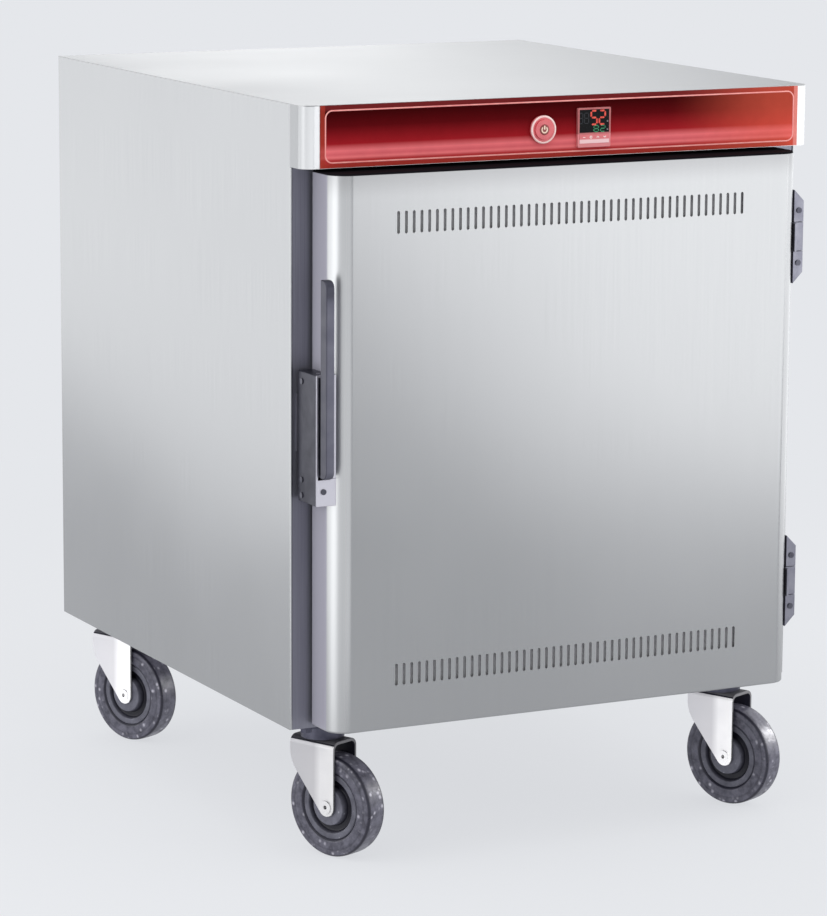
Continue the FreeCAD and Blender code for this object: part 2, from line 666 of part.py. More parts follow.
# Door: folded skin with two rows of slots, inner panel, insulation and gasket
skin = rounded_front(door_x0, door_x1, door_yf, door_yb, door_z0, door_z1, DOOR_R)
skin = round_edges(skin, DOOR_EDGE_R, lambda b: b.ZLength < 0.01 and b.YMin < door_yb - 0.01)
hollow = rounded_front(door_x0 + SHEET, door_x1 - SHEET, door_yf + SHEET, door_yb + OVER,
                       door_z0 + SHEET, door_z1 - SHEET, DOOR_R - SHEET)
slot_rows = (door_z0 + SLOT_BOTTOM, door_z1 - SLOT_TOP)
slot_x0 = door_x0 + SLOT_SIDE
slot_x1 = door_x1 - SLOT_SIDE
slots = []
inner_slots = []
for z in slot_rows:
    slots += [slot(x, z, SLOT_W, SLOT_H, door_yf - OVER, door_yf + OVER)
              for x in row(SLOT_COUNT, slot_x0, slot_x1)]
    inner_slots += [slot(x, z, INNER_SLOT_W, SLOT_H, door_yb - OVER, door_yb + OVER)
                    for x in row(INNER_SLOT_COUNT, slot_x0, slot_x1)]
save("door_skin", skin.cut(hollow).cut(group(slots)))
panel = box(door_x0 + SHEET, door_x1 - SHEET, door_yb - SHEET, door_yb, door_z0 + SHEET, door_z1 - SHEET)
save("door_inner_panel", panel.cut(group(inner_slots)))
vent_half = SLOT_H / 2 + SLOT_ROOM
save("door_insulation", box(door_x0 + DOOR_R, door_x1 - DOOR_R, door_yf + SHEET, door_yb - SHEET,
                            slot_rows[0] + vent_half, slot_rows[1] - vent_half))
seal_x = cav_x + GASKET_LAP
seal_z0 = cav_z0 - GASKET_LAP
seal_z1 = cav_z1 + GASKET_LAP
seal_y = jamb - GASKET_FREE
seal = box(-seal_x - GASKET_W, seal_x + GASKET_W, door_yb, seal_y, seal_z0 - GASKET_W, seal_z1 + GASKET_W)
seal = seal.cut(box(-seal_x, seal_x, door_yb - OVER, jamb + OVER, seal_z0, seal_z1))
save("door_gasket", round_edges(seal, GASKET_R, lambda b: b.YMin > seal_y - 0.01))

# Hinges: square cabinet knuckles with sloped ends, a door knuckle between them
axis_x = door_x1 + LEAF_T + HINGE_SIDE + HINGE_HALF
axis_y = jamb - HINGE_REACH
knuckle_x0 = axis_x - HINGE_HALF
knuckle_x1 = axis_x + HINGE_HALF
knuckle_yf = axis_y - HINGE_HALF
hinge_end_x = right - HINGE_BASE_IN
slope = hinge_end_x - knuckle_x0
hinge_z = (door_z1 - HINGE_TOP, door_z0 + HINGE_BOTTOM)
cabinet_leaves = []
door_leaves = []
hinge_pins = []
for mid in hinge_z:
    leaf = [box(knuckle_x0, hinge_end_x, jamb - HINGE_BASE_T, jamb, mid - HINGE_H / 2, mid + HINGE_H / 2)]
    for s in (-1, 1):
        z0, z1 = sorted((mid + s * (HINGE_MID + HINGE_FREE), mid + s * HINGE_H / 2))
        leaf.append(box(knuckle_x0, knuckle_x1, knuckle_yf, jamb - LAP, z0, z1))
    leaf = fuse(leaf)
    for s in (-1, 1):
        end = mid + s * HINGE_H / 2
        corner = [V(knuckle_x0, knuckle_yf - OVER, end), V(hinge_end_x, knuckle_yf - OVER, end - s * slope),
                  V(hinge_end_x + OVER, knuckle_yf - OVER, end - s * slope),
                  V(hinge_end_x + OVER, knuckle_yf - OVER, end + s * OVER),
                  V(knuckle_x0, knuckle_yf - OVER, end + s * OVER)]
        wedge = Part.Face(Part.makePolygon(corner + corner[:1]))
        leaf = leaf.cut(wedge.extrude(V(0, jamb - knuckle_yf + 2 * OVER, 0)))
        z = mid + s * HINGE_SCREW
        hole_end = knuckle_yf + HINGE_SCREW_L + TIP_ROOM
        leaf = leaf.cut(rod_y(SCREW_R + SCREW_FREE, axis_x, knuckle_yf - OVER, hole_end, z))
        head = rod_y(HINGE_HEAD_R, axis_x, knuckle_yf - HINGE_HEAD_T, knuckle_yf, z)
        shank = rod_y(SCREW_R, axis_x, knuckle_yf - HINGE_HEAD_T / 2, knuckle_yf + HINGE_SCREW_L, z)
        cabinet_screws.append(fuse([head, shank]))
    pin_ends = (mid - HINGE_PIN_HALF, mid + HINGE_PIN_HALF)
    bore = rod_z(HINGE_PIN_R + RUN_FIT, axis_x, axis_y, *pin_ends)
    cabinet_leaves.append(leaf.cut(bore))
    hinge_pins.append(rod_z(HINGE_PIN_R, axis_x, axis_y, *pin_ends))
    knuckle = fuse([
        box(door_x1, knuckle_x1, knuckle_yf, axis_y + HINGE_HALF, mid - HINGE_MID, mid + HINGE_MID),
        box(door_x1, door_x1 + LEAF_T, axis_y - LEAF_HALF, axis_y + LEAF_HALF,
            mid - HINGE_MID, mid + HINGE_MID),
    ])
    door_leaves.append(knuckle.cut(bore))
save("hinge_cabinet_leaves", group(cabinet_leaves))
save("hinge_door_leaves", group(door_leaves))
save("hinge_pins", group(hinge_pins))
save("cabinet_screws", group(cabinet_screws))

# Latch housing on the door's rounded edge, with its pocket and screws
house_x0 = door_x0 - HOUSING_W
house_yf = jamb - HOUSING_FRONT
house_yb = jamb - HOUSING_BACK
house_z0 = door_z0 + HOUSING_LOW
house_z1 = house_z0 + HOUSING_H
pocket_x0 = house_x0 + HOUSING_WALL
pocket_x1 = door_x0 - HOUSING_BASE
pocket_z0 = house_z0 + PAD_H
pocket_z1 = house_z1 - HOUSING_WALL
pocket_mid = (pocket_z0 + pocket_z1) / 2
pin_x = (pocket_x0 + pocket_x1) / 2
pin_y = house_yf + PIN_BACK
pin_z0 = pocket_z0 - PIN_SINK
housing = box(house_x0, door_x0 + DOOR_R, house_yf, house_yb, house_z0, house_z1)
housing = round_edges(housing, HOUSING_R, lambda b: b.XMax < house_x0 + 0.01).cut(skin)
pocket_yb = house_yb - HOUSING_WALL
housing = housing.cut(box(pocket_x0, pocket_x1, house_yf - OVER, pocket_yb, pocket_z0, pocket_z1))
housing = housing.cut(rod_z(PIN_R + RUN_FIT, pin_x, pin_y, pin_z0, house_z1 + OVER))
latch_hole = SCREW_R + SCREW_FREE
side_y = house_yb - LATCH_SCREW_BACK
latch_screws = []
for z in (house_z1 - LATCH_SCREW_TOP, house_z0 + LATCH_SCREW_MID, house_z0 + LATCH_SCREW_LOW):
    housing = housing.cut(rod_x(latch_hole, house_x0 - OVER, house_x0 + LATCH_SCREW_L + TIP_ROOM, side_y, z))
    latch_screws.append(fuse([
        rod_x(LATCH_HEAD_R, house_x0 - LATCH_HEAD_T, house_x0, side_y, z),
        rod_x(SCREW_R, house_x0 - LATCH_HEAD_T / 2, house_x0 + LATCH_SCREW_L, side_y, z),
    ]))
pad_x = (house_x0 + door_x0) / 2
pad_z = house_z0 + PAD_SCREW_UP
housing = housing.cut(rod_y(latch_hole, pad_x, house_yf - OVER, house_yf + LATCH_SCREW_L + TIP_ROOM, pad_z))
latch_screws.append(fuse([
    rod_y(LATCH_HEAD_R, pad_x, house_yf - LATCH_HEAD_T, house_yf, pad_z),
    rod_y(SCREW_R, pad_x, house_yf - LATCH_HEAD_T / 2, house_yf + LATCH_SCREW_L, pad_z),
]))
save("latch_housing", housing)
save("latch_screws", group(latch_screws))
save("lever_pin", rod_z(PIN_R, pin_x, pin_y, pin_z0, house_z1))

# Magnet on the housing, strike on the frame
save("latch_magnet", box(house_x0 + MAGNET_IN, door_x0 - MAGNET_IN, house_yb, house_yb + MAGNET_T,
                         pocket_mid - MAGNET_H / 2, pocket_mid + MAGNET_H / 2))
save("strike_plate", box(house_x0 + STRIKE_IN, door_x0 - STRIKE_IN, jamb - STRIKE_T, jamb,
                         pocket_mid - STRIKE_H / 2, pocket_mid + STRIKE_H / 2))

# Latch lever: tall fin, arm, hub on the pin and tail
lever_x0 = pin_x - LEVER_SET
lever_x1 = lever_x0 + LEVER_T
arm_x0 = pin_x - ARM_SET
lever_y0 = door_yf - LEVER_OUT
lever_y1 = house_yf - LEVER_SWING
lever_z0 = pocket_z0 + LEVER_LIFT
lever_z1 = lever_z0 + LEVER_H
arm_z1 = pocket_z1 - LEVER_CLEAR
fin = box(lever_x0, lever_x1, lever_y0, lever_y1, lever_z0, lever_z1)
fin = round_edges(fin, LEVER_R, lambda b: b.YMax < lever_y0 + 0.01 and b.XLength > 1)
fin = round_edges(fin, LEVER_RIM_R, lambda b: b.XLength < 0.01 and b.YMin < lever_y1 - LAP)
lever = fuse([
    fin,
    box(arm_x0, arm_x0 + ARM_T, lever_y1 - ARM_LAP, pin_y, lever_z0, arm_z1),
    rod_z(HUB_R, pin_x, pin_y, pocket_z0 + LEVER_CLEAR, arm_z1),
    box(pin_x - TAIL_T, pin_x, pin_y, pin_y + TAIL_L, pocket_mid - TAIL_H / 2, pocket_mid + TAIL_H / 2),
])
save("latch_lever", lever.cut(rod_z(PIN_R + RUN_FIT, pin_x, pin_y, house_z0, house_z1)))

# Caster top plates with their king pins, and the swivel races
crown_top = plate_z - RACE_H
crown_low = crown_top - CROWN_T
king_z = crown_low - SWIVEL_FREE
plates = []
races = []
for sx, sy in swivels.values():
    plate = box(sx - PLATE_X / 2, sx + PLATE_X / 2, sy - PLATE_Y / 2, sy + PLATE_Y / 2, plate_z, floor_z)
    plate = round_edges(plate, PLATE_R, lambda b: b.XLength + b.YLength < 0.01)
    king = rod_z(KING_R, sx, sy, king_z - LAP, plate_z + LAP)
    king_head = rod_z(KING_HEAD_R, sx, sy, king_z - KING_HEAD_T, king_z)
    plates.append(fuse([plate, king, king_head]).cut(bolt_holes))
    race = rod_z(RACE_OUT, sx, sy, crown_top + SWIVEL_FREE, plate_z)
    races.append(race.cut(rod_z(RACE_IN, sx, sy, crown_top, plate_z + OVER)))
save("caster_plates", group(plates))
save("swivel_races", group(races))

# One caster around its own swivel axis: the trail runs along -Y before turning
axle_z = WHEEL_R
axle_y = -TRAIL
tyre_half = TYRE_W / 2
leg_in = FORK_HALF - LEG_T
hub_half = leg_in - SIDE_FREE
fork_front = axle_y - FORK_BOSS
boss = V(0, axle_y, axle_z)
curve = V(0, FORK_BACK - FORK_CURVE, crown_top - FORK_SHOULDER)
reach = curve - boss
lean = math.atan2(reach.z, reach.y) - math.acos((FORK_BOSS - FORK_CURVE) / reach.Length)


def around(middle, radius, angle):
    return middle + V(0, radius * math.cos(angle), radius * math.sin(angle))


boss_touch = around(boss, FORK_BOSS, lean)
curve_touch = around(curve, FORK_CURVE, lean)
curve_end = around(curve, FORK_CURVE, 0)
outline = [
    Part.makeLine(V(0, FORK_BACK, crown_top), V(0, fork_front, crown_top)),
    Part.makeLine(V(0, fork_front, crown_top), V(0, fork_front, axle_z)),
    arc(V(0, fork_front, axle_z), V(0, axle_y, axle_z - FORK_BOSS), boss_touch),
    Part.makeLine(boss_touch, curve_touch),
    arc(curve_touch, around(curve, FORK_CURVE, lean / 2), curve_end),
    Part.makeLine(curve_end, V(0, FORK_BACK, crown_top)),
]
cheek = Part.Face(Part.Wire(outline)).extrude(V(2 * FORK_HALF + 2 * OVER, 0, 0))
cheek.translate(V(-FORK_HALF - OVER, 0, 0))
channel = box(-FORK_HALF, FORK_HALF, fork_front - OVER, FORK_BACK + OVER, 0, crown_top)
channel = round_edges(channel, FORK_BEND, lambda b: b.ZMin > crown_top - 0.01 and b.XLength < 0.01)
inside = box(-leg_in, leg_in, fork_front - 2 * OVER, FORK_BACK + 2 * OVER, -OVER, crown_low)
inside = round_edges(inside, FORK_BEND - LEG_T, lambda b: b.ZMin > crown_low - 0.01 and b.XLength < 0.01)
fork = channel.cut(inside).common(cheek)
fork = fork.cut(rod_z(KING_R + CUT_FREE, 0, 0, crown_low - OVER, crown_top + OVER))
fork = fork.cut(rod_x(AXLE_R + RUN_FIT, -FORK_HALF - OVER, FORK_HALF + OVER, axle_y, axle_z))
axle_out = FORK_HALF + AXLE_HEAD_T
sleeve_half = leg_in - SLEEVE_FREE
axle = fuse([
    rod_x(AXLE_R, -axle_out, axle_out, axle_y, axle_z),
    rod_x(SLEEVE_R, -sleeve_half, sleeve_half, axle_y, axle_z),
    rod_x(AXLE_HEAD_R, -axle_out, -FORK_HALF, axle_y, axle_z),
    rod_x(AXLE_HEAD_R, FORK_HALF, axle_out, axle_y, axle_z),
])
axle = axle.cut(rod_x(AXLE_BORE, -axle_out - OVER, axle_out + OVER, axle_y, axle_z))


def wheel_point(half_width, radius):
    return V(half_width, axle_y, axle_z + radius)


def turned(edges):
    # Closed outline over the axle, turned about it
    face = Part.Face(Part.Wire(Part.__sortEdges__(edges)))
    return face.revolve(V(0, axle_y, axle_z), V(1, 0, 0), 360)


def mirrored_outline(side):
    # Open line on the +X side, its mirror image, and the two lines that close it
    points = [wheel_point(w, r) for w, r in side]
    others = [wheel_point(-w, r) for w, r in side]
    edges = [Part.makeLine(a, b) for a, b in zip(points, points[1:])]
    edges += [Part.makeLine(a, b) for a, b in zip(others, others[1:])]
    return edges, points, others


rim_half = tyre_half - RIM_STEP
groove_half = rim_half - TYRE_GROOVE
edges, points, others = mirrored_outline([
    (hub_half, SLEEVE_R + RUN_FIT), (hub_half, HUB_FACE_R - HUB_EDGE), (hub_half - HUB_EDGE, HUB_FACE_R),
    (WEB_HALF, HUB_FACE_R + HUB_EDGE), (WEB_HALF, RIM_IN), (rim_half - HUB_EDGE, RIM_IN + TYRE_GROOVE),
    (rim_half, RIM_IN + 2 * TYRE_GROOVE), (rim_half, TYRE_IN - TYRE_GROOVE), (groove_half, TYRE_IN),
])
edges += [Part.makeLine(points[0], others[0]), Part.makeLine(points[-1], others[-1])]
core = turned(edges)
tyre_bore = TYRE_IN + TYRE_FIT
edges, points, others = mirrored_outline([
    (groove_half, tyre_bore), (tyre_half, tyre_bore + RIM_STEP), (tyre_half, WHEEL_R - TYRE_R),
])
bulge = TYRE_R * math.sqrt(0.5)
for s, start in ((1, points[-1]), (-1, others[-1])):
    middle = wheel_point(s * (tyre_half - TYRE_R + bulge), WHEEL_R - TYRE_R + bulge)
    edges.append(arc(start, middle, wheel_point(s * (tyre_half - TYRE_R), WHEEL_R)))
tread = tyre_half - TYRE_R
edges.append(Part.makeLine(wheel_point(tread, WHEEL_R), wheel_point(-tread, WHEEL_R)))
edges.append(Part.makeLine(points[0], others[0]))
tyre = turned(edges)
wheel_set = {"caster_fork": fork, "caster_axle": axle, "wheel_core": core, "wheel_tyre": tyre}
for name, (sx, sy) in swivels.items():
    for piece, shape in wheel_set.items():
        placed = shape.copy()
        placed.rotate(V(0, 0, 0), V(0, 0, 1), SWIVEL_REST)
        placed.translate(V(sx, sy, 0))
        save(name + "_" + piece, placed)

turn = math.radians(SWIVEL_REST)
print("nodes", len(saved))
print("jamb", jamb, "back", back, "door", door_x0, door_x1, door_yf, door_yb, door_z0, door_z1)
print("chamber", cav_x, cav_y0, cav_y1, cav_z0, cav_z1, "runners", runner_z)
print("door hinge", axis_x, axis_y, hinge_z)
print("lever pin", pin_x, pin_y, "lever", lever_x0, lever_x1, lever_y0, lever_y1, lever_z0, lever_z1)
print("button", BUTTON_X, cap_y, control_z, "travel", CAP_TRAVEL)
for name, (sx, sy) in swivels.items():
    print(name, sx, sy, "axle", sx + TRAIL * math.sin(turn), sy - TRAIL * math.cos(turn), axle_z)
print("axle axis", math.cos(turn), math.sin(turn), "gland", gland_x, back, gland_z)
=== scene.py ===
import bmesh
import bpy
import json
import math
import numpy as np
from mathutils import Matrix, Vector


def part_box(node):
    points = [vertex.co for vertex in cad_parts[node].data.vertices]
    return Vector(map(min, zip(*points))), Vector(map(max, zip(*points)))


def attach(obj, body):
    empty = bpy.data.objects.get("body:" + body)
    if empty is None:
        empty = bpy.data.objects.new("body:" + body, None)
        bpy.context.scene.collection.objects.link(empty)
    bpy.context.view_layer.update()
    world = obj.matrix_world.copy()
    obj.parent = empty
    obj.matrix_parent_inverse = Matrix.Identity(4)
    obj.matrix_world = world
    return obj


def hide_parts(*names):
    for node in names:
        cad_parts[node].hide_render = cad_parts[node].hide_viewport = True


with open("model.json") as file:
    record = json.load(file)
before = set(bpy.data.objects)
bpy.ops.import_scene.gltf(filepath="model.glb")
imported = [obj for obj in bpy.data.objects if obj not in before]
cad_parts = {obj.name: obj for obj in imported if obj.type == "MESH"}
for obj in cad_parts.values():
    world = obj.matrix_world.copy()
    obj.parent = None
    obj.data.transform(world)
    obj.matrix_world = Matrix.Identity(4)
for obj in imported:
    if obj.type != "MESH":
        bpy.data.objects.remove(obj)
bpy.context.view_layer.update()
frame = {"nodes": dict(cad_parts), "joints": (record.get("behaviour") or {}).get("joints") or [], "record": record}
print("cabinet frame loaded,", len(frame["nodes"]), "pieces")

corners = ("front_left", "front_right", "rear_left", "rear_right")
jointOf = {joint["name"]: joint for joint in frame["joints"]}
bodyOf = {node: body for body, nodes in frame["record"]["behaviour"]["bodies"].items() for node in nodes}

# Camera, fitted to the corners of the cabinet in the photograph
cameraSetup = {
    "place": (-2.3629, -4.6346, 1.3829),
    "yaw": 26.847,               # degrees to the right of straight ahead
    "pitch": 10.445,             # degrees down
    "roll": 0.325,
    "focalPixels": 4035.1,
    "longSidePixels": 916,
    "sensorWidth": 36.0,
    "clipEnd": 60.0,
}


def setCamera(setup):
    # lens = focal length in pixels, over the pixels of the long side, times the sensor's width
    data = bpy.data.cameras.new("photoCamera")
    data.sensor_width = setup["sensorWidth"]
    data.lens = setup["focalPixels"] / setup["longSidePixels"] * setup["sensorWidth"]
    data.clip_end = setup["clipEnd"]
    camera = bpy.data.objects.new("photoCamera", data)
    turn = Matrix.Rotation(math.radians(-setup["yaw"]), 4, "Z")
    tilt = Matrix.Rotation(math.radians(90.0 - setup["pitch"]), 4, "X")
    lean = Matrix.Rotation(math.radians(setup["roll"]), 4, "Z")
    camera.matrix_world = Matrix.Translation(setup["place"]) @ turn @ tilt @ lean
    bpy.context.scene.collection.objects.link(camera)
    bpy.context.scene.camera = camera


setCamera(cameraSetup)
bpy.context.scene.view_settings.view_transform = "Standard"


# Meshes: every new piece is a grid of points or a section carried along a path
def reworkMesh(mesh, change):
    work = bmesh.new()
    work.from_mesh(mesh)
    change(work)
    work.to_mesh(mesh)
    work.free()


def meshPiece(name, points, faces, smooth=True, sharpAngle=35.0, outward=True):
    mesh = bpy.data.meshes.new(name)
    mesh.from_pydata(np.asarray(points).reshape(-1, 3), [], faces)
    if outward:
        reworkMesh(mesh, lambda work: bmesh.ops.recalc_face_normals(work, faces=work.faces))
    mesh.polygons.foreach_set("use_smooth", np.full(len(mesh.polygons), smooth))
    if smooth:
        mesh.set_sharp_from_angle(angle=math.radians(sharpAngle))
    mesh.update()
    piece = bpy.data.objects.new(name, mesh)
    bpy.context.scene.collection.objects.link(piece)
    return piece


def gridFaces(rows, cols, closeU, closeV, capStart, capEnd, first=0):
    # neighbouring points of the grid make a quad; a cap closes the first or last row with one face
    index = first + np.arange(rows * cols).reshape(rows, cols)
    rowA = index if closeU else index[:-1]
    rowB = np.roll(index, -1, 0) if closeU else index[1:]
    if closeV:
        quads = np.stack([rowA, np.roll(rowA, -1, 1), np.roll(rowB, -1, 1), rowB], -1)
    else:
        quads = np.stack([rowA[:, :-1], rowA[:, 1:], rowB[:, 1:], rowB[:, :-1]], -1)
    faces = quads.reshape(-1, 4)[:, ::-1].tolist()
    if capStart:
        faces.append(index[0].tolist())
    if capEnd:
        faces.append(index[-1][::-1].tolist())
    return faces


def tubeFaces(count, rows, cols):
    # several capped tubes of the same grid, one after the other
    faces = []
    for number in range(count):
        faces += gridFaces(rows, cols, False, True, True, True, number * rows * cols)
    return faces


def gridPiece(name, points, closeU=False, closeV=False, capStart=False, capEnd=False, **looks):
    faces = gridFaces(*points.shape[:2], closeU, closeV, capStart, capEnd)
    return meshPiece(name, points, faces, **looks)


def sweepPiece(name, path, side, section, closed=False):
    # each path point carries the section: point = path + side * first coordinate + front * second coordinate
    front = np.array([0.0, -1.0, 0.0])
    points = path[:, None] + side[:, None] * section[None, :, :1] + front * section[None, :, 1:]
    return gridPiece(name, points, closeU=closed, closeV=True, capStart=not closed, capEnd=not closed)


def roundAngles(count):
    # a full turn in equal steps
    return np.linspace(0.0, 2 * np.pi, count + 1)[:-1]


def uprightCircle(angle):
    # unit vectors at these angles in the plane of the front, from X towards Z
    return np.stack([np.cos(angle), np.zeros_like(angle), np.sin(angle)], -1)


def circleSection(radius, count=16):
    # points a radius from the middle, at equal steps of the angle
    angle = roundAngles(count)
    return radius * np.stack([np.cos(angle), np.sin(angle)], -1)


barLook = {"tip": 0.12, "tipWidth": 0.25}     # shares of the length and the width


def barPieces(name, starts, ends, width, thick, front):
    # every bar is a flat box section carried from its start to its end across the front (X, Z),
    # narrowed at both tips; front is the Y of the face that it lies on
    starts = np.asarray(starts, float)
    way = np.asarray(ends, float) - starts
    tip, narrow = barLook["tip"], barLook["tipWidth"]
    along = np.array([0.0, tip, 1.0 - tip, 1.0])
    half = np.array([narrow, 1.0, 1.0, narrow]) * width / 2
    across = np.stack([way[:, 1], -way[:, 0]], -1) / np.linalg.norm(way, axis=1, keepdims=True)
    middle = starts[:, None] + way[:, None] * along[None, :, None]
    shift = across[:, None] * half[None, :, None]
    sign = np.array([-1.0, 1.0, 1.0, -1.0])
    deep = front + np.array([0.0, 0.0, -thick, -thick])
    flat = middle[:, :, None] + shift[:, :, None] * sign[None, None, :, None]
    y = np.broadcast_to(deep, flat.shape[:3])
    points = np.stack([flat[..., 0], y, flat[..., 1]], -1)
    return meshPiece(name, points, tubeFaces(len(starts), 4, 4), smooth=False)


finishes = {}                        # material of each name, mixed further down


def rideOn(piece, body, finish):
    piece.data.materials.append(finishes[finish])
    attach(piece, body)


def writeMark(piece, name, domain, values):
    layer = piece.data.attributes.new(name, "FLOAT", domain)
    layer.data.foreach_set("value", values.astype(np.float32))


# Joined copies of CAD shapes; angles in degrees
easeLook = {"spacing": 0.00001, "sharpAngle": 30.0, "flatAngle": 1.0, "segments": 2, "flatWeight": 100}


def mergedShape(node, spacing):
    # corners that round to the same spot of a fine grid become one point, and the triangles follow them
    data = frame["nodes"][node].data
    spots = np.empty(len(data.vertices) * 3)
    data.vertices.foreach_get("co", spots)
    ends = np.empty(len(data.loops), np.int32)
    data.loops.foreach_get("vertex_index", ends)
    spots = spots.reshape(-1, 3)
    cells = np.round(spots / spacing).astype(np.int64)
    first, number = np.unique(cells, axis=0, return_index=True, return_inverse=True)[1:]
    faces = number.reshape(-1)[ends].reshape(-1, 3)
    whole = np.all(faces != np.roll(faces, 1, 1), axis=1)
    return spots[first], faces[whole]


def faceDirections(points, faces):
    # two sides of each triangle, crossed and brought to length 1
    first, second, third = (points[faces[:, place]] for place in range(3))
    across = np.cross(second - first, third - first)
    return across / np.maximum(np.linalg.norm(across, axis=1, keepdims=True), 1e-12)


def finishPiece(node, finish, edge=0.0, mark=None):
    # the CAD shape with joined corners: round faces shade smoothly, flats stay flat, sharp edges are eased
    points, faces = mergedShape(node, easeLook["spacing"])
    sharpAngle = easeLook["sharpAngle"]
    piece = meshPiece(node + "_finish", points, faces.tolist(), sharpAngle=sharpAngle, outward=False)
    if mark:
        marks = mark(points, points[faces].mean(1), faceDirections(points, faces))
        for name, (domain, values) in marks.items():
            writeMark(piece, name, domain, values)
    if edge:
        flat = math.radians(easeLook["flatAngle"])
        reworkMesh(piece.data, lambda work: bmesh.ops.dissolve_limit(
            work, angle_limit=flat, verts=work.verts, edges=work.edges))
        ease = piece.modifiers.new("ease", "BEVEL")
        ease.width = edge
        ease.segments = easeLook["segments"]
        ease.limit_method = "ANGLE"
        ease.angle_limit = math.radians(sharpAngle)
        ease.use_clamp_overlap = False
    flats = piece.modifiers.new("flats", "WEIGHTED_NORMAL")
    flats.weight = easeLook["flatWeight"]
    flats.keep_sharp = True
    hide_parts(node)
    rideOn(piece, bodyOf[node], finish)


# Nodes: a socket as a value is linked, anything else is set; a new node joins the tree of its socket
def setInputs(node, values):
    for label, value in values.items():
        if isinstance(value, bpy.types.NodeSocket):
            node.id_data.links.new(value, node.inputs[label])
        else:
            node.inputs[label].default_value = value


def addNode(tree, kind, values=None, **settings):
    node = tree.nodes.new("ShaderNode" + kind)
    for key, value in settings.items():
        setattr(node, key, value)
    setInputs(node, values or {})
    return node


def mathNode(operation, first, second=0.0):
    return addNode(first.id_data, "Math", {0: first, 1: second}, operation=operation).outputs[0]


def mapRange(value, fromMin, fromMax, toMin, toMax, smooth=False):
    values = {"Value": value, "From Min": fromMin, "From Max": fromMax, "To Min": toMin, "To Max": toMax}
    kind = "SMOOTHSTEP" if smooth else "LINEAR"
    return addNode(value.id_data, "MapRange", values, interpolation_type=kind).outputs[0]


noiseSpan = (0.3, 0.7)               # most of a noise lies between these


def overNoise(value, low, high):
    return mapRange(value, *noiseSpan, low, high)


def opaque(colour):
    return colour if isinstance(colour, bpy.types.NodeSocket) else (*colour, 1.0)


def mixColour(factor, first, second):
    values = {0: factor, 6: opaque(first), 7: opaque(second)}      # 6 and 7 are the node's colour sockets
    return addNode(factor.id_data, "Mix", values, data_type="RGBA").outputs[2]


def colourRamp(factor, stops):
    node = addNode(factor.id_data, "ValToRGB", {"Fac": factor})
    elements = node.color_ramp.elements
    while len(elements) < len(stops):
        elements.new(1.0)
    for element, (place, colour) in zip(elements, stops):
        element.position = place
        element.color = opaque(colour)
    return node.outputs["Color"]


def noise(place, scale, detail, **more):
    values = {"Vector": place, "Scale": scale, "Detail": detail, **more}
    return addNode(place.id_data, "TexNoise", values).outputs["Fac"]


def marked(tree, name):
    return addNode(tree, "Attribute", attribute_name=name).outputs["Fac"]


def objectPlace(tree):
    return addNode(tree, "TexCoord").outputs["Object"]


def objectAxes(tree):
    return addNode(tree, "SeparateXYZ", {0: objectPlace(tree)}).outputs


def linear(red, green, blue):
    # display values from 0 to 255, turned into the scene's linear colour
    shown = np.array([red, green, blue]) / 255.0
    dark = shown / 12.92
    light = ((shown + 0.055) / 1.055) ** 2.4
    return tuple(np.where(shown <= 0.04045, dark, light).tolist())


# Studio: pale backdrop, pale floor and soft boxes; glow is the brightness of a box's face
brightForks = ("front_right", "rear_left")
studio = {
    "backdrop": (0.783, 0.799, 0.831),
    "worldLight": 0.78,          # light that the backdrop throws on matt surfaces
    "floorColour": (0.80, 0.81, 0.83),
    "floorRadius": 9.0,
    "floorRings": 9,
    "floorTurns": 96,
    "floorLevel": -0.0005,
    "floorGlow": 0.80,           # how far the floor is lit like the backdrop, which keeps its shadow pale
    "floorFade": (0.8, 2.4),     # from here to here the floor turns into the backdrop
    "boxes": {                   # place, aim, size, glow, lean in degrees
        "doorBox": ((1.54, -2.07, 0.70), (-0.05, -0.4, 0.6), (1.81, 1.76), 1.41, 45.0),
        "sideBox": ((-1.35, 1.20, 0.52), (-0.35, 0.28, 0.6), (1.94, 1.16), 0.77, -30.0),
        "leftBox": ((-1.35, -0.22, 0.58), (-0.31, -0.22, 0.58), (1.25, 1.15), 1.35),
        "backBox": ((1.00, 2.13, 1.41), (-0.08, 0.0, 0.93), (1.69, 0.37), 1.5, -31.0),
        "rightBox": ((1.90, 0.0, 0.75), (0.0, 0.0, 0.75), (2.4, 1.5), 1.2),
        "edgeBox": ((-0.673, -1.098, 0.50), (-0.31, -0.385, 0.50), (1.40, 1.0), 0.62),
        "edgeStrip": ((-0.92, -0.50, 0.50), (-0.31, -0.385, 0.50), (0.46, 1.0), 0.85),
        "forkBox": ((-0.85, -1.45, 0.30), (0.1, -0.1, 0.1), (1.6, 0.5), 6.5),
        "tyreBox": ((1.60, -0.45, 0.62), (0.29, -0.31, 0.1), (0.4, 0.4), 26.0),
        "topBox": ((-0.6, -0.8, 3.2), (0.0, 0.0, 0.5), (2.2, 2.2), 1.0),
    },
    "lights": {                  # a box named here reaches only these pieces
        "edgeBox": ["door_skin_finish", "control_hood_finish"],
        "edgeStrip": ["door_skin_finish"],
        "forkBox": [corner + part for corner in brightForks
                    for part in ("_caster_fork_finish", "_caster_axle_finish")],
        "tyreBox": [corner + "_wheel_tyre_turned" for corner in corners],
    },
}


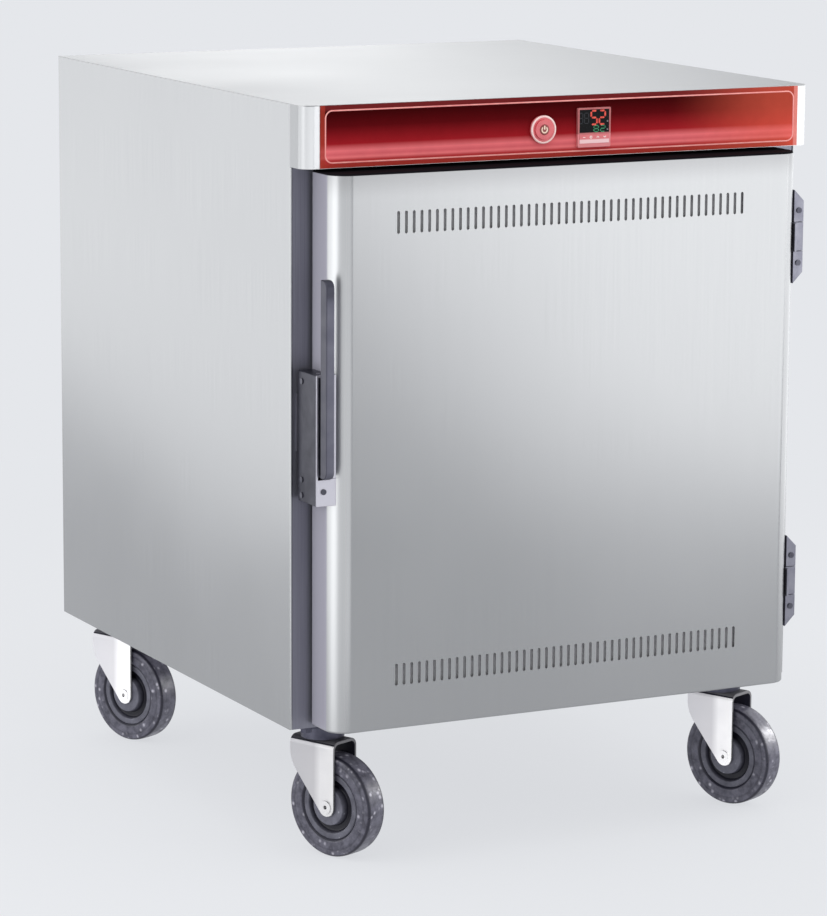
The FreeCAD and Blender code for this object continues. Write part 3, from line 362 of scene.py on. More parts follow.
def buildStudio(setup):
    # camera, gloss and glass see the backdrop; matt surfaces get a plain white light
    world = bpy.data.worlds.new("studioWorld")
    bpy.context.scene.world = world
    world.use_nodes = True
    tree = world.node_tree
    tree.nodes.clear()
    path = addNode(tree, "LightPath").outputs
    seen = mathNode("MAXIMUM", path["Is Camera Ray"], path["Is Glossy Ray"])
    seen = mathNode("MAXIMUM", seen, path["Is Transmission Ray"])
    white = (1.0, 1.0, 1.0, 1.0)
    light = addNode(tree, "Background", {"Color": white, "Strength": setup["worldLight"]})
    backdrop = addNode(tree, "Background", {"Color": opaque(setup["backdrop"])})
    mix = addNode(tree, "MixShader", {0: seen, 1: light.outputs[0], 2: backdrop.outputs[0]})
    addNode(tree, "OutputWorld", {"Surface": mix.outputs[0]})
    for name, box in setup["boxes"].items():
        placeLamp(name, *box)


def placeLamp(name, place, aim, size, glow, lean=0.0):
    # power = pi times area times glow; the lamp looks from its place to its aim and leans about that line
    data = bpy.data.lights.new(name, "AREA")
    data.shape = "RECTANGLE"
    data.size, data.size_y = size
    data.energy = math.pi * data.size * data.size_y * glow
    lamp = bpy.data.objects.new(name, data)
    back = np.array(place) - np.array(aim)
    back = back / np.linalg.norm(back)
    right = np.cross((0.0, 0.0, 1.0), back)
    right = right / np.linalg.norm(right)
    up = np.cross(back, right)
    facing = Matrix(np.column_stack([right, up, back]).tolist()).to_4x4()
    turn = Matrix.Rotation(math.radians(lean), 4, "Z")
    lamp.matrix_world = Matrix.Translation(place) @ facing @ turn
    lamp.visible_camera = False
    bpy.context.scene.collection.objects.link(lamp)


def limitLamps(setup):
    # a box with a list of pieces reaches only those, past anything else in its way
    for name, pieces in setup["lights"].items():
        reached = bpy.data.collections.new(name + "Reach")
        for piece in pieces:
            reached.objects.link(bpy.data.objects[piece])
        linking = bpy.data.objects[name].light_linking
        linking.receiver_collection = reached
        linking.blocker_collection = reached


def buildFloor(setup):
    # disc of rings: radius grows in steps, angle goes round
    radii = np.linspace(0.0, setup["floorRadius"], setup["floorRings"] + 1)[1:]
    rr, aa = np.meshgrid(radii, roundAngles(setup["floorTurns"]), indexing="ij")
    points = np.stack([rr * np.cos(aa), rr * np.sin(aa), np.full_like(rr, setup["floorLevel"])], -1)
    floor = gridPiece("floor", points, closeV=True, capStart=True, outward=False)
    mat = bpy.data.materials.new("paleFloor")
    mat.use_nodes = True
    tree = mat.node_tree
    tree.nodes.clear()
    away = addNode(tree, "VectorMath", {0: objectPlace(tree)}, operation="LENGTH").outputs["Value"]
    fade = mapRange(away, *setup["floorFade"], setup["floorGlow"], 1.0, smooth=True)
    cloth = addNode(tree, "BsdfDiffuse", {"Color": opaque(setup["floorColour"])})
    glow = addNode(tree, "Emission", {"Color": opaque(setup["backdrop"])})
    mix = addNode(tree, "MixShader", {0: fade, 1: cloth.outputs[0], 2: glow.outputs[0]})
    addNode(tree, "OutputMaterial", {"Surface": mix.outputs[0]})
    floor.data.materials.append(mat)


buildStudio(studio)
buildFloor(studio)
print("studio built")

# Finish groups, shared by the materials: scale and detail of a fine and a slow noise, the share of the fine
# one in the tone, which of the two changes the roughness and by how much, and the depth of the bump
grainLook = {
    "sheetGrain": {"fine": (1.0, 3.0), "slow": (3.0, 2.0), "fineShare": 1.0, "toneSpan": (0.7, 1.3),
                   "wearBy": "Slow", "wear": 0.02, "depth": 0.0002},
    "castGrain": {"fine": (900.0, 2.0), "slow": (45.0, 3.0), "fineShare": 0.0, "toneSpan": noiseSpan,
                  "wearBy": "Slow", "wear": -0.05, "depth": 0.0002},
    "mouldGrain": {"fine": (1800.0, 1.0), "slow": (70.0, 2.0), "fineShare": 0.0, "toneSpan": noiseSpan,
                   "wearBy": "Fine", "wear": 0.04, "depth": 0.0001},
}
# the extra share of flecks along the tyre's ring is a painted glint
rubberLook = {"detail": 4.0, "roughness": 0.65, "patches": (60.0, 1.0), "patchSpan": (0.5, 0.62),
              "glintMore": 0.06, "specular": 0.4, "toneSpan": (0.32, 0.68), "wear": 0.08, "bump": 0.35,
              "depth": 0.0008}


def newGroup(name, inputs, outputs):
    group = bpy.data.node_groups.new(name, "ShaderNodeTree")
    for label, value in {"Vector": (0.0, 0.0, 0.0), **inputs}.items():
        kind = "NodeSocketVector" if isinstance(value, tuple) else "NodeSocketFloat"
        group.interface.new_socket(label, in_out="INPUT", socket_type=kind).default_value = value
    for label in outputs:
        group.interface.new_socket(label, in_out="OUTPUT", socket_type="NodeSocketFloat")
    return group, group.nodes.new("NodeGroupInput").outputs, group.nodes.new("NodeGroupOutput")


def makeGrain(name, look):
    # a fine noise, pulled into streaks by the stretch, over a slow one: streaks and clouds of rolled sheet,
    # pits and blotches of castings, skin and shade of mouldings
    fineScale, fineDetail = look["fine"]
    slowScale, slowDetail = look["slow"]
    inputs = {"Stretch": (1.0, 1.0, 1.0), "Fine Scale": fineScale, "Slow Scale": slowScale}
    group, given, out = newGroup(name, inputs, ("Fine", "Slow", "Tone"))
    pulled = addNode(group, "VectorMath", {0: given["Vector"], 1: given["Stretch"]},
                     operation="MULTIPLY").outputs[0]
    fine = noise(pulled, given["Fine Scale"], fineDetail)
    slow = noise(given["Vector"], given["Slow Scale"], slowDetail)
    both = mathNode("ADD", mathNode("MULTIPLY", fine, look["fineShare"]), slow)
    tone = mapRange(both, *look["toneSpan"], 0.0, 1.0)
    setInputs(out, {"Fine": fine, "Slow": slow, "Tone": tone})
    return group


def makeRubberMottle(look):
    # worn rubber: mottled grey with pale flecks where the cells of a scatter come close to their middle; the
    # flecks are partly painted glints, denser along the glint ring
    inputs = {"Mottle Scale": 90.0, "Fleck Scale": 110.0, "Fleck Size": 0.30, "Worn": 0.0}
    group, given, out = newGroup("rubberMottle", inputs, ("Mottle", "Fleck"))
    place = given["Vector"]
    cells = addNode(group, "TexVoronoi", {"Vector": place, "Scale": given["Fleck Scale"]})
    near = mapRange(cells.outputs["Distance"], 0.0, given["Fleck Size"], 1.0, 0.0, smooth=True)
    often = mathNode("MULTIPLY", given["Worn"], look["glintMore"])
    some = mathNode("ADD", noise(place, *look["patches"]), often)
    patch = mapRange(some, *look["patchSpan"], 0.0, 1.0)
    mottle = noise(place, given["Mottle Scale"], look["detail"], Roughness=look["roughness"])
    setInputs(out, {"Mottle": mottle, "Fleck": mathNode("MULTIPLY", near, patch)})
    return group


grains = {name: makeGrain(name, look) for name, look in grainLook.items()}
grains["rubberMottle"] = makeRubberMottle(rubberLook)


# Kinds of finish
def startMaterial(name, metallic, coat=0.0, specular=0.5):
    mat = bpy.data.materials.new(name)
    mat.use_nodes = True
    tree = mat.node_tree
    shader = tree.nodes["Principled BSDF"]
    setInputs(shader, {"Metallic": metallic, "Coat Weight": coat, "Specular IOR Level": specular})
    return mat, tree, shader


def addGrain(tree, kind, values=None):
    values = {"Vector": objectPlace(tree), **(values or {})}
    return addNode(tree, "Group", values, node_tree=grains[kind]).outputs


def coverShader(shader, colour, rough, height, bump, depth):
    values = {"Height": height, "Strength": bump, "Distance": depth}
    relief = addNode(shader.id_data, "Bump", values)
    setInputs(shader, {"Base Color": colour, "Roughness": rough, "Normal": relief.outputs[0]})


def grainFinish(name, kind, dark, light, rough, bump, metallic, coat=0.0, specular=0.5,
                values=None, wear=None):
    look = grainLook[kind]
    wear = wear or look["wear"]
    mat, tree, shader = startMaterial(name, metallic, coat, specular)
    grain = addGrain(tree, kind, values)
    colour = mixColour(grain["Tone"], dark, light)
    shine = overNoise(grain[look["wearBy"]], rough - wear, rough + wear)
    coverShader(shader, colour, shine, grain["Fine"], bump, look["depth"])
    return mat


def sheetSteel(name, dark, light, rough, stretch, metallic=1.0, bump=0.012):
    return grainFinish(name, "sheetGrain", dark, light, rough, bump, metallic, values={"Stretch": stretch})


def castMetal(name, dark, light, rough, metallic, bump=0.12, wear=None):
    return grainFinish(name, "castGrain", dark, light, rough, bump, metallic, wear=wear)


def mouldedPlastic(name, dark, light, rough, coat=0.0, specular=0.5, bump=0.1):
    return grainFinish(name, "mouldGrain", dark, light, rough, bump, 0.0, coat, specular)


def wornRubber(name, dark, light, fleckColour, rough, fleckSize, mottle, paintedShade=None):
    # painted shade and painted glints follow the marks of the wheels: where deep, the colour turns to painted
    # shade; along the glint ring there are more pale flecks
    look = rubberLook
    mat, tree, shader = startMaterial(name, 0.0, specular=look["specular"])
    values = {"Mottle Scale": mottle, "Fleck Size": fleckSize}
    if paintedShade:
        values["Worn"] = marked(tree, "worn")
    grain = addGrain(tree, "rubberMottle", values)
    tone = mapRange(grain["Mottle"], *look["toneSpan"], 0.0, 1.0)
    colour = mixColour(grain["Fleck"], mixColour(tone, dark, light), fleckColour)
    if paintedShade:
        colour = mixColour(marked(tree, "deep"), colour, paintedShade)
    shine = mapRange(tone, 0.0, 1.0, rough + look["wear"], rough - look["wear"])
    coverShader(shader, colour, shine, grain["Mottle"], look["bump"], look["depth"])
    return mat


def reopen(mat):
    # what a second coat needs from a finished material
    shader = mat.node_tree.nodes["Principled BSDF"]
    return shader, objectAxes(mat.node_tree), shader.inputs["Base Color"].links[0].from_socket


def coatAlong(mat, axis, start, full, colour):
    # a second colour that grows along an axis from start to full
    shader, axes, under = reopen(mat)
    share = mapRange(axes[axis], start, full, 0.0, 1.0)
    setInputs(shader, {"Base Color": mixColour(share, under, colour)})
    return mat


# Finishes of the cabinet
upright = (600.0, 600.0, 8.0)        # grain along Z
crosswise = (8.0, 600.0, 600.0)      # grain along X
steels = {                           # dark and light tone, roughness, grain, metallic
    "sideSteel": ((0.38, 0.385, 0.39), (0.41, 0.415, 0.42), 0.25, upright),
    "topSteel": ((0.325, 0.33, 0.33), (0.355, 0.36, 0.36), 0.31, crosswise),
    "linerSteel": ((0.42, 0.43, 0.44), (0.52, 0.53, 0.54), 0.3, upright),
    "panSteel": ((0.30, 0.30, 0.32), (0.38, 0.38, 0.40), 0.38, crosswise),
    # frameSteel is the cabinet's steel made darker: painted shade of the recess behind the door
    "frameSteel": ((0.18, 0.18, 0.22), (0.235, 0.235, 0.28), 0.38, upright, 0.6),
    "troughSteel": ((0.55, 0.55, 0.57), (0.65, 0.65, 0.67), 0.5, crosswise, 0.2),
}
castings = {                         # dark and light tone, roughness, metallic, bump
    "hingeMetal": ((0.17, 0.17, 0.21), (0.24, 0.24, 0.28), 0.36, 0.85),
    "pinSteel": ((0.40, 0.40, 0.42), (0.55, 0.55, 0.57), 0.25, 1.0),
    "screwSteel": ((0.05, 0.05, 0.07), (0.12, 0.12, 0.14), 0.35, 0.9),
    "zincFork": ((0.78, 0.77, 0.79), (0.88, 0.87, 0.88), 0.4, 0.25, 0.06),
    # near black zinc: painted shade on the plates, races and bolts under the cabinet
    "zincDark": ((0.05, 0.05, 0.075), (0.11, 0.11, 0.145), 0.4, 0.8),
    "wire": ((0.60, 0.60, 0.62), (0.72, 0.72, 0.74), 0.2, 1.0),
    "heaterTube": ((0.10, 0.09, 0.08), (0.20, 0.16, 0.13), 0.5, 0.7),
    "magnet": ((0.03, 0.03, 0.035), (0.06, 0.06, 0.07), 0.5, 0.5),
}
rubbers = {                          # dark and light tone, flecks, roughness, size of flecks, mottle, painted shade colour
    "wool": ((0.55, 0.47, 0.25), (0.72, 0.64, 0.38), (0.8, 0.75, 0.55), 0.9, 0.1, 40.0),
    # the last colour is painted shade in the recess of the core
    "core": (linear(78, 78, 89), linear(108, 108, 120), linear(160, 160, 170), 0.45, 0.22, 60.0,
             linear(22, 21, 33)),
    # the pale flecks of the tyre are partly painted glints; the last colour is painted shade
    "tyre": (linear(58, 57, 69), linear(104, 103, 116), linear(190, 188, 199), 0.34, 0.40, 90.0,
             linear(36, 35, 48)),
    "gasket": ((0.05, 0.05, 0.055), (0.09, 0.09, 0.10), (0.1, 0.1, 0.11), 0.6, 0.02, 90.0),
}
plastics = {                         # dark and light tone, roughness, coat
    "electricDark": ((0.02, 0.02, 0.025), (0.05, 0.05, 0.055), 0.5),
    "electricGrey": ((0.35, 0.36, 0.38), (0.45, 0.46, 0.48), 0.5),
    "switchRed": (linear(204, 70, 80), linear(222, 92, 98), 0.3, 0.4),
    "rimPale": (linear(238, 190, 188), linear(252, 226, 222), 0.25, 0.5),
    "symbolBrown": (linear(128, 48, 46), linear(150, 62, 58), 0.35),
    "symbolCream": (linear(244, 214, 190), linear(252, 232, 212), 0.4),
    "borderPink": (linear(232, 132, 130), linear(246, 168, 160), 0.4),
}
kinds = ((sheetSteel, steels), (castMetal, castings), (wornRubber, rubbers), (mouldedPlastic, plastics))
for make, looks in kinds:
    for name, look in looks.items():
        finishes[name] = make(name, *look)

fasciaLook = {
    "stops": ((0.0, (112, 36, 38)), (0.07, (108, 32, 34)), (0.11, (56, 2, 4)), (0.34, (90, 8, 14)),
              (0.62, (156, 28, 36)), (0.73, (234, 116, 121)), (0.79, (220, 100, 107)),
              (0.835, (240, 122, 125)), (0.88, (184, 56, 60)), (0.96, (170, 54, 46))),
    "warmFrom": (0.14, 0.32),
    "warmShare": 0.48,
    "warmColour": (238, 100, 78),
    "end": (0.0062, 0.00496),        # the plain ends begin here, in metres from each side
    "endShare": 0.75,
    "leftEnd": (166, 58, 46),
    "rightEnd": (236, 146, 138),
    "shade": 0.06,
    "rough": (0.22, 0.28),
    "bump": 0.03,
    "specular": 0.01,
}


def fasciaPrint(setup):
    # the print runs through the stops from the top edge to the bottom edge and warms up towards its right end
    mat, tree, shader = startMaterial("fasciaPrint", 0.0, specular=setup["specular"])
    axes = objectAxes(tree)
    low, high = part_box("fascia_panel")
    down = mapRange(axes["Z"], high[2], low[2], 0.0, 1.0)
    printed = colourRamp(down, [(at, linear(*shown)) for at, shown in setup["stops"]])
    warmth = mapRange(axes["X"], *setup["warmFrom"], 0.0, setup["warmShare"], smooth=True)
    printed = mixColour(warmth, printed, linear(*setup["warmColour"]))
    start, full = setup["end"]
    for edge, inward, colour in ((low[0], 1.0, "leftEnd"), (high[0], -1.0, "rightEnd")):
        end = mapRange(axes["X"], edge + inward * start, edge + inward * full, 0.0, setup["endShare"])
        printed = mixColour(end, printed, linear(*setup[colour]))
    grain = addGrain(tree, "mouldGrain")
    shade = overNoise(grain["Slow"], 0.0, setup["shade"])
    printed = mixColour(shade, printed, (0.0, 0.0, 0.0))
    shine = overNoise(grain["Fine"], *setup["rough"])
    coverShader(shader, printed, shine, grain["Fine"], setup["bump"], grainLook["mouldGrain"]["depth"])
    return mat


finishes["fasciaPrint"] = fasciaPrint(fasciaLook)

# Tinted mouldings, paler below a level
keyTint = {"dark": (216, 112, 118), "light": (228, 128, 132), "pale": (246, 206, 208), "share": 0.5,
           "blend": 0.0015, "rough": 0.4, "specular": 0.2}
caseTint = {"dark": (176, 98, 100), "light": (190, 112, 112), "pale": (226, 138, 142),
            "blend": 0.0012, "rough": 0.4, "specular": 0.2}


def tintedMoulding(name, setup, level):
    dark, light, pale = (linear(*setup[tone]) for tone in ("dark", "light", "pale"))
    mat = mouldedPlastic(name, dark, light, setup["rough"], specular=setup["specular"])
    return coatAlong(mat, "Z", level + setup["blend"], level, pale)


keyBottom, keyTop = (corner[2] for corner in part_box("key_strip"))
keyMiddle = keyBottom + (keyTop - keyBottom) * keyTint["share"]
finishes["keyPale"] = tintedMoulding("keyStrip", keyTint, keyMiddle - keyTint["blend"])
finishes["casePale"] = tintedMoulding("controllerCase", caseTint, keyTop)

# bright is the colour of a painted highlight on the front face
housingLook = {"dark": (0.022, 0.022, 0.034), "light": (0.040, 0.040, 0.056), "bright": (0.58, 0.57, 0.63),
               "edge": 0.0004, "rough": 0.38, "metallic": 0.7, "bump": 0.1, "wear": -0.04}


def housingMetal(setup):
    # dark satin casting whose front face carries a painted highlight
    mat = castMetal("housingMetal", setup["dark"], setup["light"], setup["rough"], setup["metallic"],
                    setup["bump"], setup["wear"])
    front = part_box("latch_housing")[0][1]
    return coatAlong(mat, "Y", front + 2 * setup["edge"], front + setup["edge"], setup["bright"])


finishes["housingMetal"] = housingMetal(housingLook)

# the darkest colour here is painted shade, laid on the outer side and the tip
leverLook = {"dark": (0.115, 0.115, 0.15), "light": (0.145, 0.145, 0.18), "worn": (0.02, 0.02, 0.03),
             "rough": 0.38, "metallic": 0.8, "edge": (0.0005, 0.001), "outerShadeShare": 0.65,
             "tip": (0.028, 0.0168), "tipShadeShare": 0.55}


def leverMetal(setup):
    # dark satin casting, with painted shade on its outer side and at its tip
    mat = castMetal("leverMetal", setup["dark"], setup["light"], setup["rough"], setup["metallic"])
    shader, axes, metal = reopen(mat)
    low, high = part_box("latch_lever")
    outerShade = mapRange(axes["X"], *(low[0] + edge for edge in setup["edge"]), setup["outerShadeShare"], 0.0)
    tip = mapRange(axes["Z"], *(high[2] - down for down in setup["tip"]), 0.0, setup["tipShadeShare"],
                   smooth=True)
    # painted shade on the outer side and the tip
    worn = mixColour(mathNode("MAXIMUM", outerShade, tip), metal, setup["worn"])
    setInputs(shader, {"Base Color": worn})
    return mat


finishes["leverMetal"] = leverMetal(leverLook)

# front is the colour of a painted highlight on the hood's front face
hoodLook = {"dark": (0.305, 0.31, 0.315), "light": (0.335, 0.34, 0.345), "rough": 0.3,
            "blend": 0.009, "front": (0.60, 0.605, 0.61)}


def hoodSteel(setup):
    # sheet steel with a painted highlight: brighter towards its front face
    mat = sheetSteel("hoodSteel", setup["dark"], setup["light"], setup["rough"], crosswise)
    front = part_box("control_hood")[0][1]
    return coatAlong(mat, "Y", front + setup["blend"], front, setup["front"])


finishes["hoodSteel"] = hoodSteel(hoodLook)

doorLook = {
    "dark": (0.361, 0.366, 0.371), "light": (0.374, 0.379, 0.384), "rough": 0.235, "bump": 0.005,
    "gloss": 0.05,
    # the side colour stands in for the light the upright sides get: painted light
    "band": (0.0006, 0.0002), "paintedSideLight": (0.265, 0.26, 0.305), "paintedSideMetallic": 0.15,
    "bend": (0.026, 0.013), "bendRough": 0.34,
    "under": 0.034, "headShadeShare": 0.6, "headShadeTone": (0.24, 0.242, 0.245),      # painted shade below the head
    # painted shade on the door's top face, which lies in the shadow of the head
    "lip": (0.0026, 0.00221), "lipRough": 0.9, "lipDark": (0.006, 0.005, 0.007),
}


def doorSkinSteel(setup):
    # sheet steel: on the two upright sides a matt colour in place of the steel that stands in for their light, as
    # painted light; rougher on the bends; painted shade below the head and on the top face
    mat = sheetSteel("doorSkinSteel", setup["dark"], setup["light"], setup["rough"], upright,
                     bump=setup["bump"])
    shader, axes, steel = reopen(mat)
    low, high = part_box("door_skin")
    half = (high[0] - low[0]) / 2
    away = mathNode("ABSOLUTE", mathNode("SUBTRACT", axes["X"], (low[0] + high[0]) / 2))
    band = mapRange(away, *(half - side for side in setup["band"]), 0.0, 1.0)
    bend = mapRange(away, *(half - side for side in setup["bend"]), 0.0, setup["bendRough"],
                    smooth=True)
    # painted shade: the steel darkens towards its top edge, below the head
    under = mapRange(axes["Z"], high[2] - setup["under"], high[2], 0.0, setup["headShadeShare"],
                     smooth=True)
    # painted shade: the top face turns near black, matt and not metallic
    lip = mapRange(axes["Z"], *(high[2] - down for down in setup["lip"]), 0.0, 1.0)
    steel = mixColour(under, steel, setup["headShadeTone"])
    # painted light: the upright sides take a matt colour in place of the steel
    sides = mixColour(band, steel, setup["paintedSideLight"])
    shine = mathNode("MAXIMUM", shader.inputs["Roughness"].links[0].from_socket, bend)
    bare = mapRange(band, 0.0, 1.0, 1.0, setup["paintedSideMetallic"])
    setInputs(shader, {
        "Base Color": mixColour(lip, sides, setup["lipDark"]),
        "Roughness": mathNode("MAXIMUM", shine, mathNode("MULTIPLY", lip, setup["lipRough"])),
        "Metallic": mathNode("SUBTRACT", bare, lip),
        "Specular IOR Level": setup["gloss"],
    })
    return mat


finishes["doorSkinSteel"] = doorSkinSteel(doorLook)

forkLook = {
    # the stops paint a highlight from the back edge of the fork to its leading edge
    "stops": ((0.0, (0.56, 0.555, 0.58)), (0.55, (0.60, 0.59, 0.61)), (0.70, (0.86, 0.85, 0.86)),
              (1.0, (0.90, 0.89, 0.89))),
    # dark is the colour of the painted shade inside the fork
    "stain": 0.12, "stainColour": (0.5, 0.5, 0.53), "dark": (0.012, 0.012, 0.022),
    "metallic": 0.25, "rough": (0.45, 0.35), "bump": 0.06,
}


def forkZinc(setup):
    # bright zinc outside with a painted highlight that grows towards the leading edge; painted shade inside the
    # fork
    mat, tree, shader = startMaterial("forkZinc", setup["metallic"])
    grain = addGrain(tree, "castGrain")
    bright = colourRamp(marked(tree, "lead"), setup["stops"])
    stain = overNoise(grain["Slow"], 0.0, setup["stain"])
    outside = mixColour(stain, bright, setup["stainColour"])
    # painted light: each fork's colour is scaled by the tone of its corner
    litToned = addNode(tree, "VectorMath", {0: outside, "Scale": marked(tree, "tone")},
                    operation="SCALE").outputs[0]
    # painted shade where the faces are marked as lying inside
    colour = mixColour(marked(tree, "insideShade"), litToned, setup["dark"])
    shine = overNoise(grain["Slow"], *setup["rough"])
    coverShader(shader, colour, shine, grain["Fine"], setup["bump"], grainLook["castGrain"]["depth"])
    return mat


finishes["forkZinc"] = forkZinc(forkLook)

windowLook = {"specular": 0.06, "dust": (500.0, 3.0), "clear": (0.004, 0.004, 0.005),
              "dusty": (0.02, 0.022, 0.024), "veil": (0.55, 0.8), "shine": (0.3, 0.8), "rough": (0.08, 0.25)}
segmentLook = {"specular": 0.1, "spots": (700.0, 1.0), "span": (0.35, 0.65), "body": (0.02, 0.02, 0.02),
               "rough": 0.4, "glow": 1.0}
segments = {                         # dim and bright parts of a lamp
    "segmentRed": ((196, 52, 44), (240, 96, 78)),
    "segmentGreen": ((30, 104, 70), (60, 150, 104)),
    # unlit segments still get a faint emission: painted glow
    "segmentOff": ((20, 24, 30), (34, 38, 46)),
    "lampDot": ((96, 90, 92), (150, 140, 138)),
}


def darkWindow(setup):
    # smoked pane: near black, glossy, with faint dust
    mat, tree, shader = startMaterial("darkWindow", 0.0, specular=setup["specular"])
    dust = noise(objectPlace(tree), *setup["dust"])
    veil = mapRange(dust, *setup["veil"], 0.0, 1.0)
    setInputs(shader, {"Base Color": mixColour(veil, setup["clear"], setup["dusty"]),
                       "Roughness": mapRange(dust, *setup["shine"], *setup["rough"])})
    return mat


def litSegment(name, dim, bright, setup):
    # lamp segment: the glow is a little uneven along the bars
    mat, tree, shader = startMaterial(name, 0.0, specular=setup["specular"])
    spots = noise(objectPlace(tree), *setup["spots"])
    colour = mixColour(mapRange(spots, *setup["span"], 0.0, 1.0), dim, bright)
    setInputs(shader, {"Base Color": opaque(setup["body"]), "Roughness": setup["rough"],
                       "Emission Strength": setup["glow"], "Emission Color": colour})
    return mat


finishes["darkWindow"] = darkWindow(windowLook)
for name, (dim, bright) in segments.items():
    finishes[name] = litSegment(name, linear(*dim), linear(*bright), segmentLook)
print("finishes mixed:", len(finishes))

# Which finish each CAD piece wears
dress = {
    "doorSkinSteel": ("door_skin",),
    "sideSteel": ("left_side_panel", "right_side_panel", "back_panel"),
    "topSteel": ("top_panel",),
    "hoodSteel": ("control_hood",),
    "linerSteel": ("inner_liner", "door_inner_panel", "element_guard", "control_deck"),
    "panSteel": ("base_pan",),
    "frameSteel": ("front_frame", "strike_plate"),
    "wool": ("insulation_boards", "door_insulation"),
    "fasciaPrint": ("fascia_panel",),
    "casePale": ("controller_case",),
    "darkWindow": ("display_window",),
    "keyPale": ("key_strip",),
    "switchRed": ("switch_body", "power_button"),
    "electricDark": ("relay", "terminal_block", "cable_gland"),
    "electricGrey": ("high_limit_thermostat",),
    "hingeMetal": ("hinge_cabinet_leaves", "hinge_door_leaves"),
    "pinSteel": ("hinge_pins", "lever_pin", "temperature_probe"),
    "screwSteel": ("cabinet_screws", "latch_screws"),
    "zincDark": ("caster_plates", "swivel_races", "caster_bolts"),
    "leverMetal": ("latch_lever",),
    "housingMetal": ("latch_housing",),
    "magnet": ("latch_magnet",),
    "gasket": ("door_gasket",),
    "heaterTube": ("heating_element",),
    "wire": ("left_rack", "right_rack", "upper_shelf", "lower_shelf"),
    "zincFork": [corner + "_caster_" + part for corner in corners for part in ("fork", "axle")],
    "core": [corner + "_wheel_core" for corner in corners],
    "tyre": [corner + "_wheel_tyre" for corner in corners],
}
finishOf = {node: finish for finish, nodes in dress.items() for node in nodes}
for node, finish in finishOf.items():
    slots = frame["nodes"][node].data.materials
    slots.clear()
    slots.append(finishes[finish])
print("CAD pieces dressed; without finish:", sorted(set(frame["nodes"]) - set(finishOf)))

# CAD shapes with round faces get a joined copy, and some of them eased edges of this width
joined = ("door_skin", "control_hood", "latch_lever", "latch_housing", "lever_pin", "hinge_cabinet_leaves",
          "hinge_door_leaves", "hinge_pins", "power_button", "switch_body", "controller_case", "cable_gland",
          "cabinet_screws", "latch_screws", "left_rack", "right_rack", "upper_shelf", "lower_shelf",
          "heating_element", "temperature_probe", "caster_plates", "swivel_races", "caster_bolts",
          "inner_liner")
eased = {"latch_lever": 0.0005, "latch_housing": 0.0005, "hinge_cabinet_leaves": 0.0004,
         "hinge_door_leaves": 0.0004, "controller_case": 0.0003}
for node in joined:
    finishPiece(node, finishOf[node], eased.get(node, 0.0))

forkShape = {"back": 0.034, "front": 0.036, "half": 0.022, "sheet": 0.003, "edge": 0.0005, "turned": 0.7,
             "frontShade": 0.80, "crownShade": 0.86, "axleShade": 0.2,
             # tone makes some forks lighter or darker as a whole: painted light
             "tone": {"front_left": 0.86, "front_right": 1.0, "rear_left": 1.08, "rear_right": 1.0}}


def markFork(corner, setup, frontShade):
    # lead grows from 0 at the back edge of the fork to 1 at its front edge; faces between the legs get full
    # painted shade, and the sheet's front edge and the crown get part of it
    swivel = np.array(jointOf[corner + "_swivel_turn"]["pos_m"])
    axle = np.array(jointOf[corner + "_wheel_spin"]["axis"])
    trail = np.array([axle[1], -axle[0], 0.0])
    deep = setup["half"] - setup["sheet"] / 2

    def mark(points, middles, facing):
        lead = ((points - swivel) @ trail + setup["back"]) / (setup["back"] + setup["front"])
        between = np.abs((middles - swivel) @ axle) < deep
        ahead = facing @ trail
        insideShade = np.where(between & (np.abs(ahead) < setup["turned"]), 1.0, 0.0)
        insideShade = np.where(ahead > setup["turned"], frontShade, insideShade)
        insideShade = np.where(facing[:, 2] > setup["turned"], setup["crownShade"], insideShade)
        return {"lead": ("POINT", lead), "insideShade": ("FACE", insideShade),
                "tone": ("POINT", np.full(len(points), setup["tone"][corner]))}

    return mark


def buildForks(setup):
    for corner in corners:
        forkMark = markFork(corner, setup, setup["frontShade"])
        axleMark = markFork(corner, setup, setup["axleShade"])
        finishPiece(corner + "_caster_fork", "forkZinc", setup["edge"], mark=forkMark)
        finishPiece(corner + "_caster_axle", "forkZinc", mark=axleMark)


buildForks(forkShape)
print("round pieces joined:", len(joined) + 2 * len(corners))

# Wheels: outlines as distance from the middle plane, distance from the axle and length of the eased corner
wheelLook = {
    "turns": 112,
    "cornerSteps": 6,
    "sharpAngle": 60.0,
    "core": ((0.0182, 0.00705, 0.0002), (0.0182, 0.0232, 0.0014), (0.0080, 0.0250, 0.0012),
             (0.0080, 0.0320, 0.0016), (0.0140, 0.0346, 0.0012), (0.0140, 0.0411, 0.0008),
             (0.0131, 0.0420, 0.0003)),
    "coreShadeDepth": (0.0145, 0.0090),      # painted shade in the recess grows between these distances from the middle plane
    "tyre": ((0.0131, 0.04205, 0.0003), (0.0158, 0.0446, 0.0012), (0.0160, 0.0530, 0.0010),
             (0.0154, 0.0552, 0.0012), (0.0158, 0.0574, 0.0010), (0.0156, 0.0637, 0.0046),
             (0.0060, 0.0640, 0.0020)),
    "tyreShadeDepth": (0.0158, 0.0150),
    "treadFrom": 0.0575,               # past this distance from the axle the only painted shade is the dark line
    "shoulder": (0.0600, 0.0045),      # ring of more pale flecks, painted glints: distance from the axle, half width
    "shadeLine": (0.0136, 0.0020),      # painted shade line at the tread: distance from the middle plane, half width
    "edgeFrom": 0.0610,
}


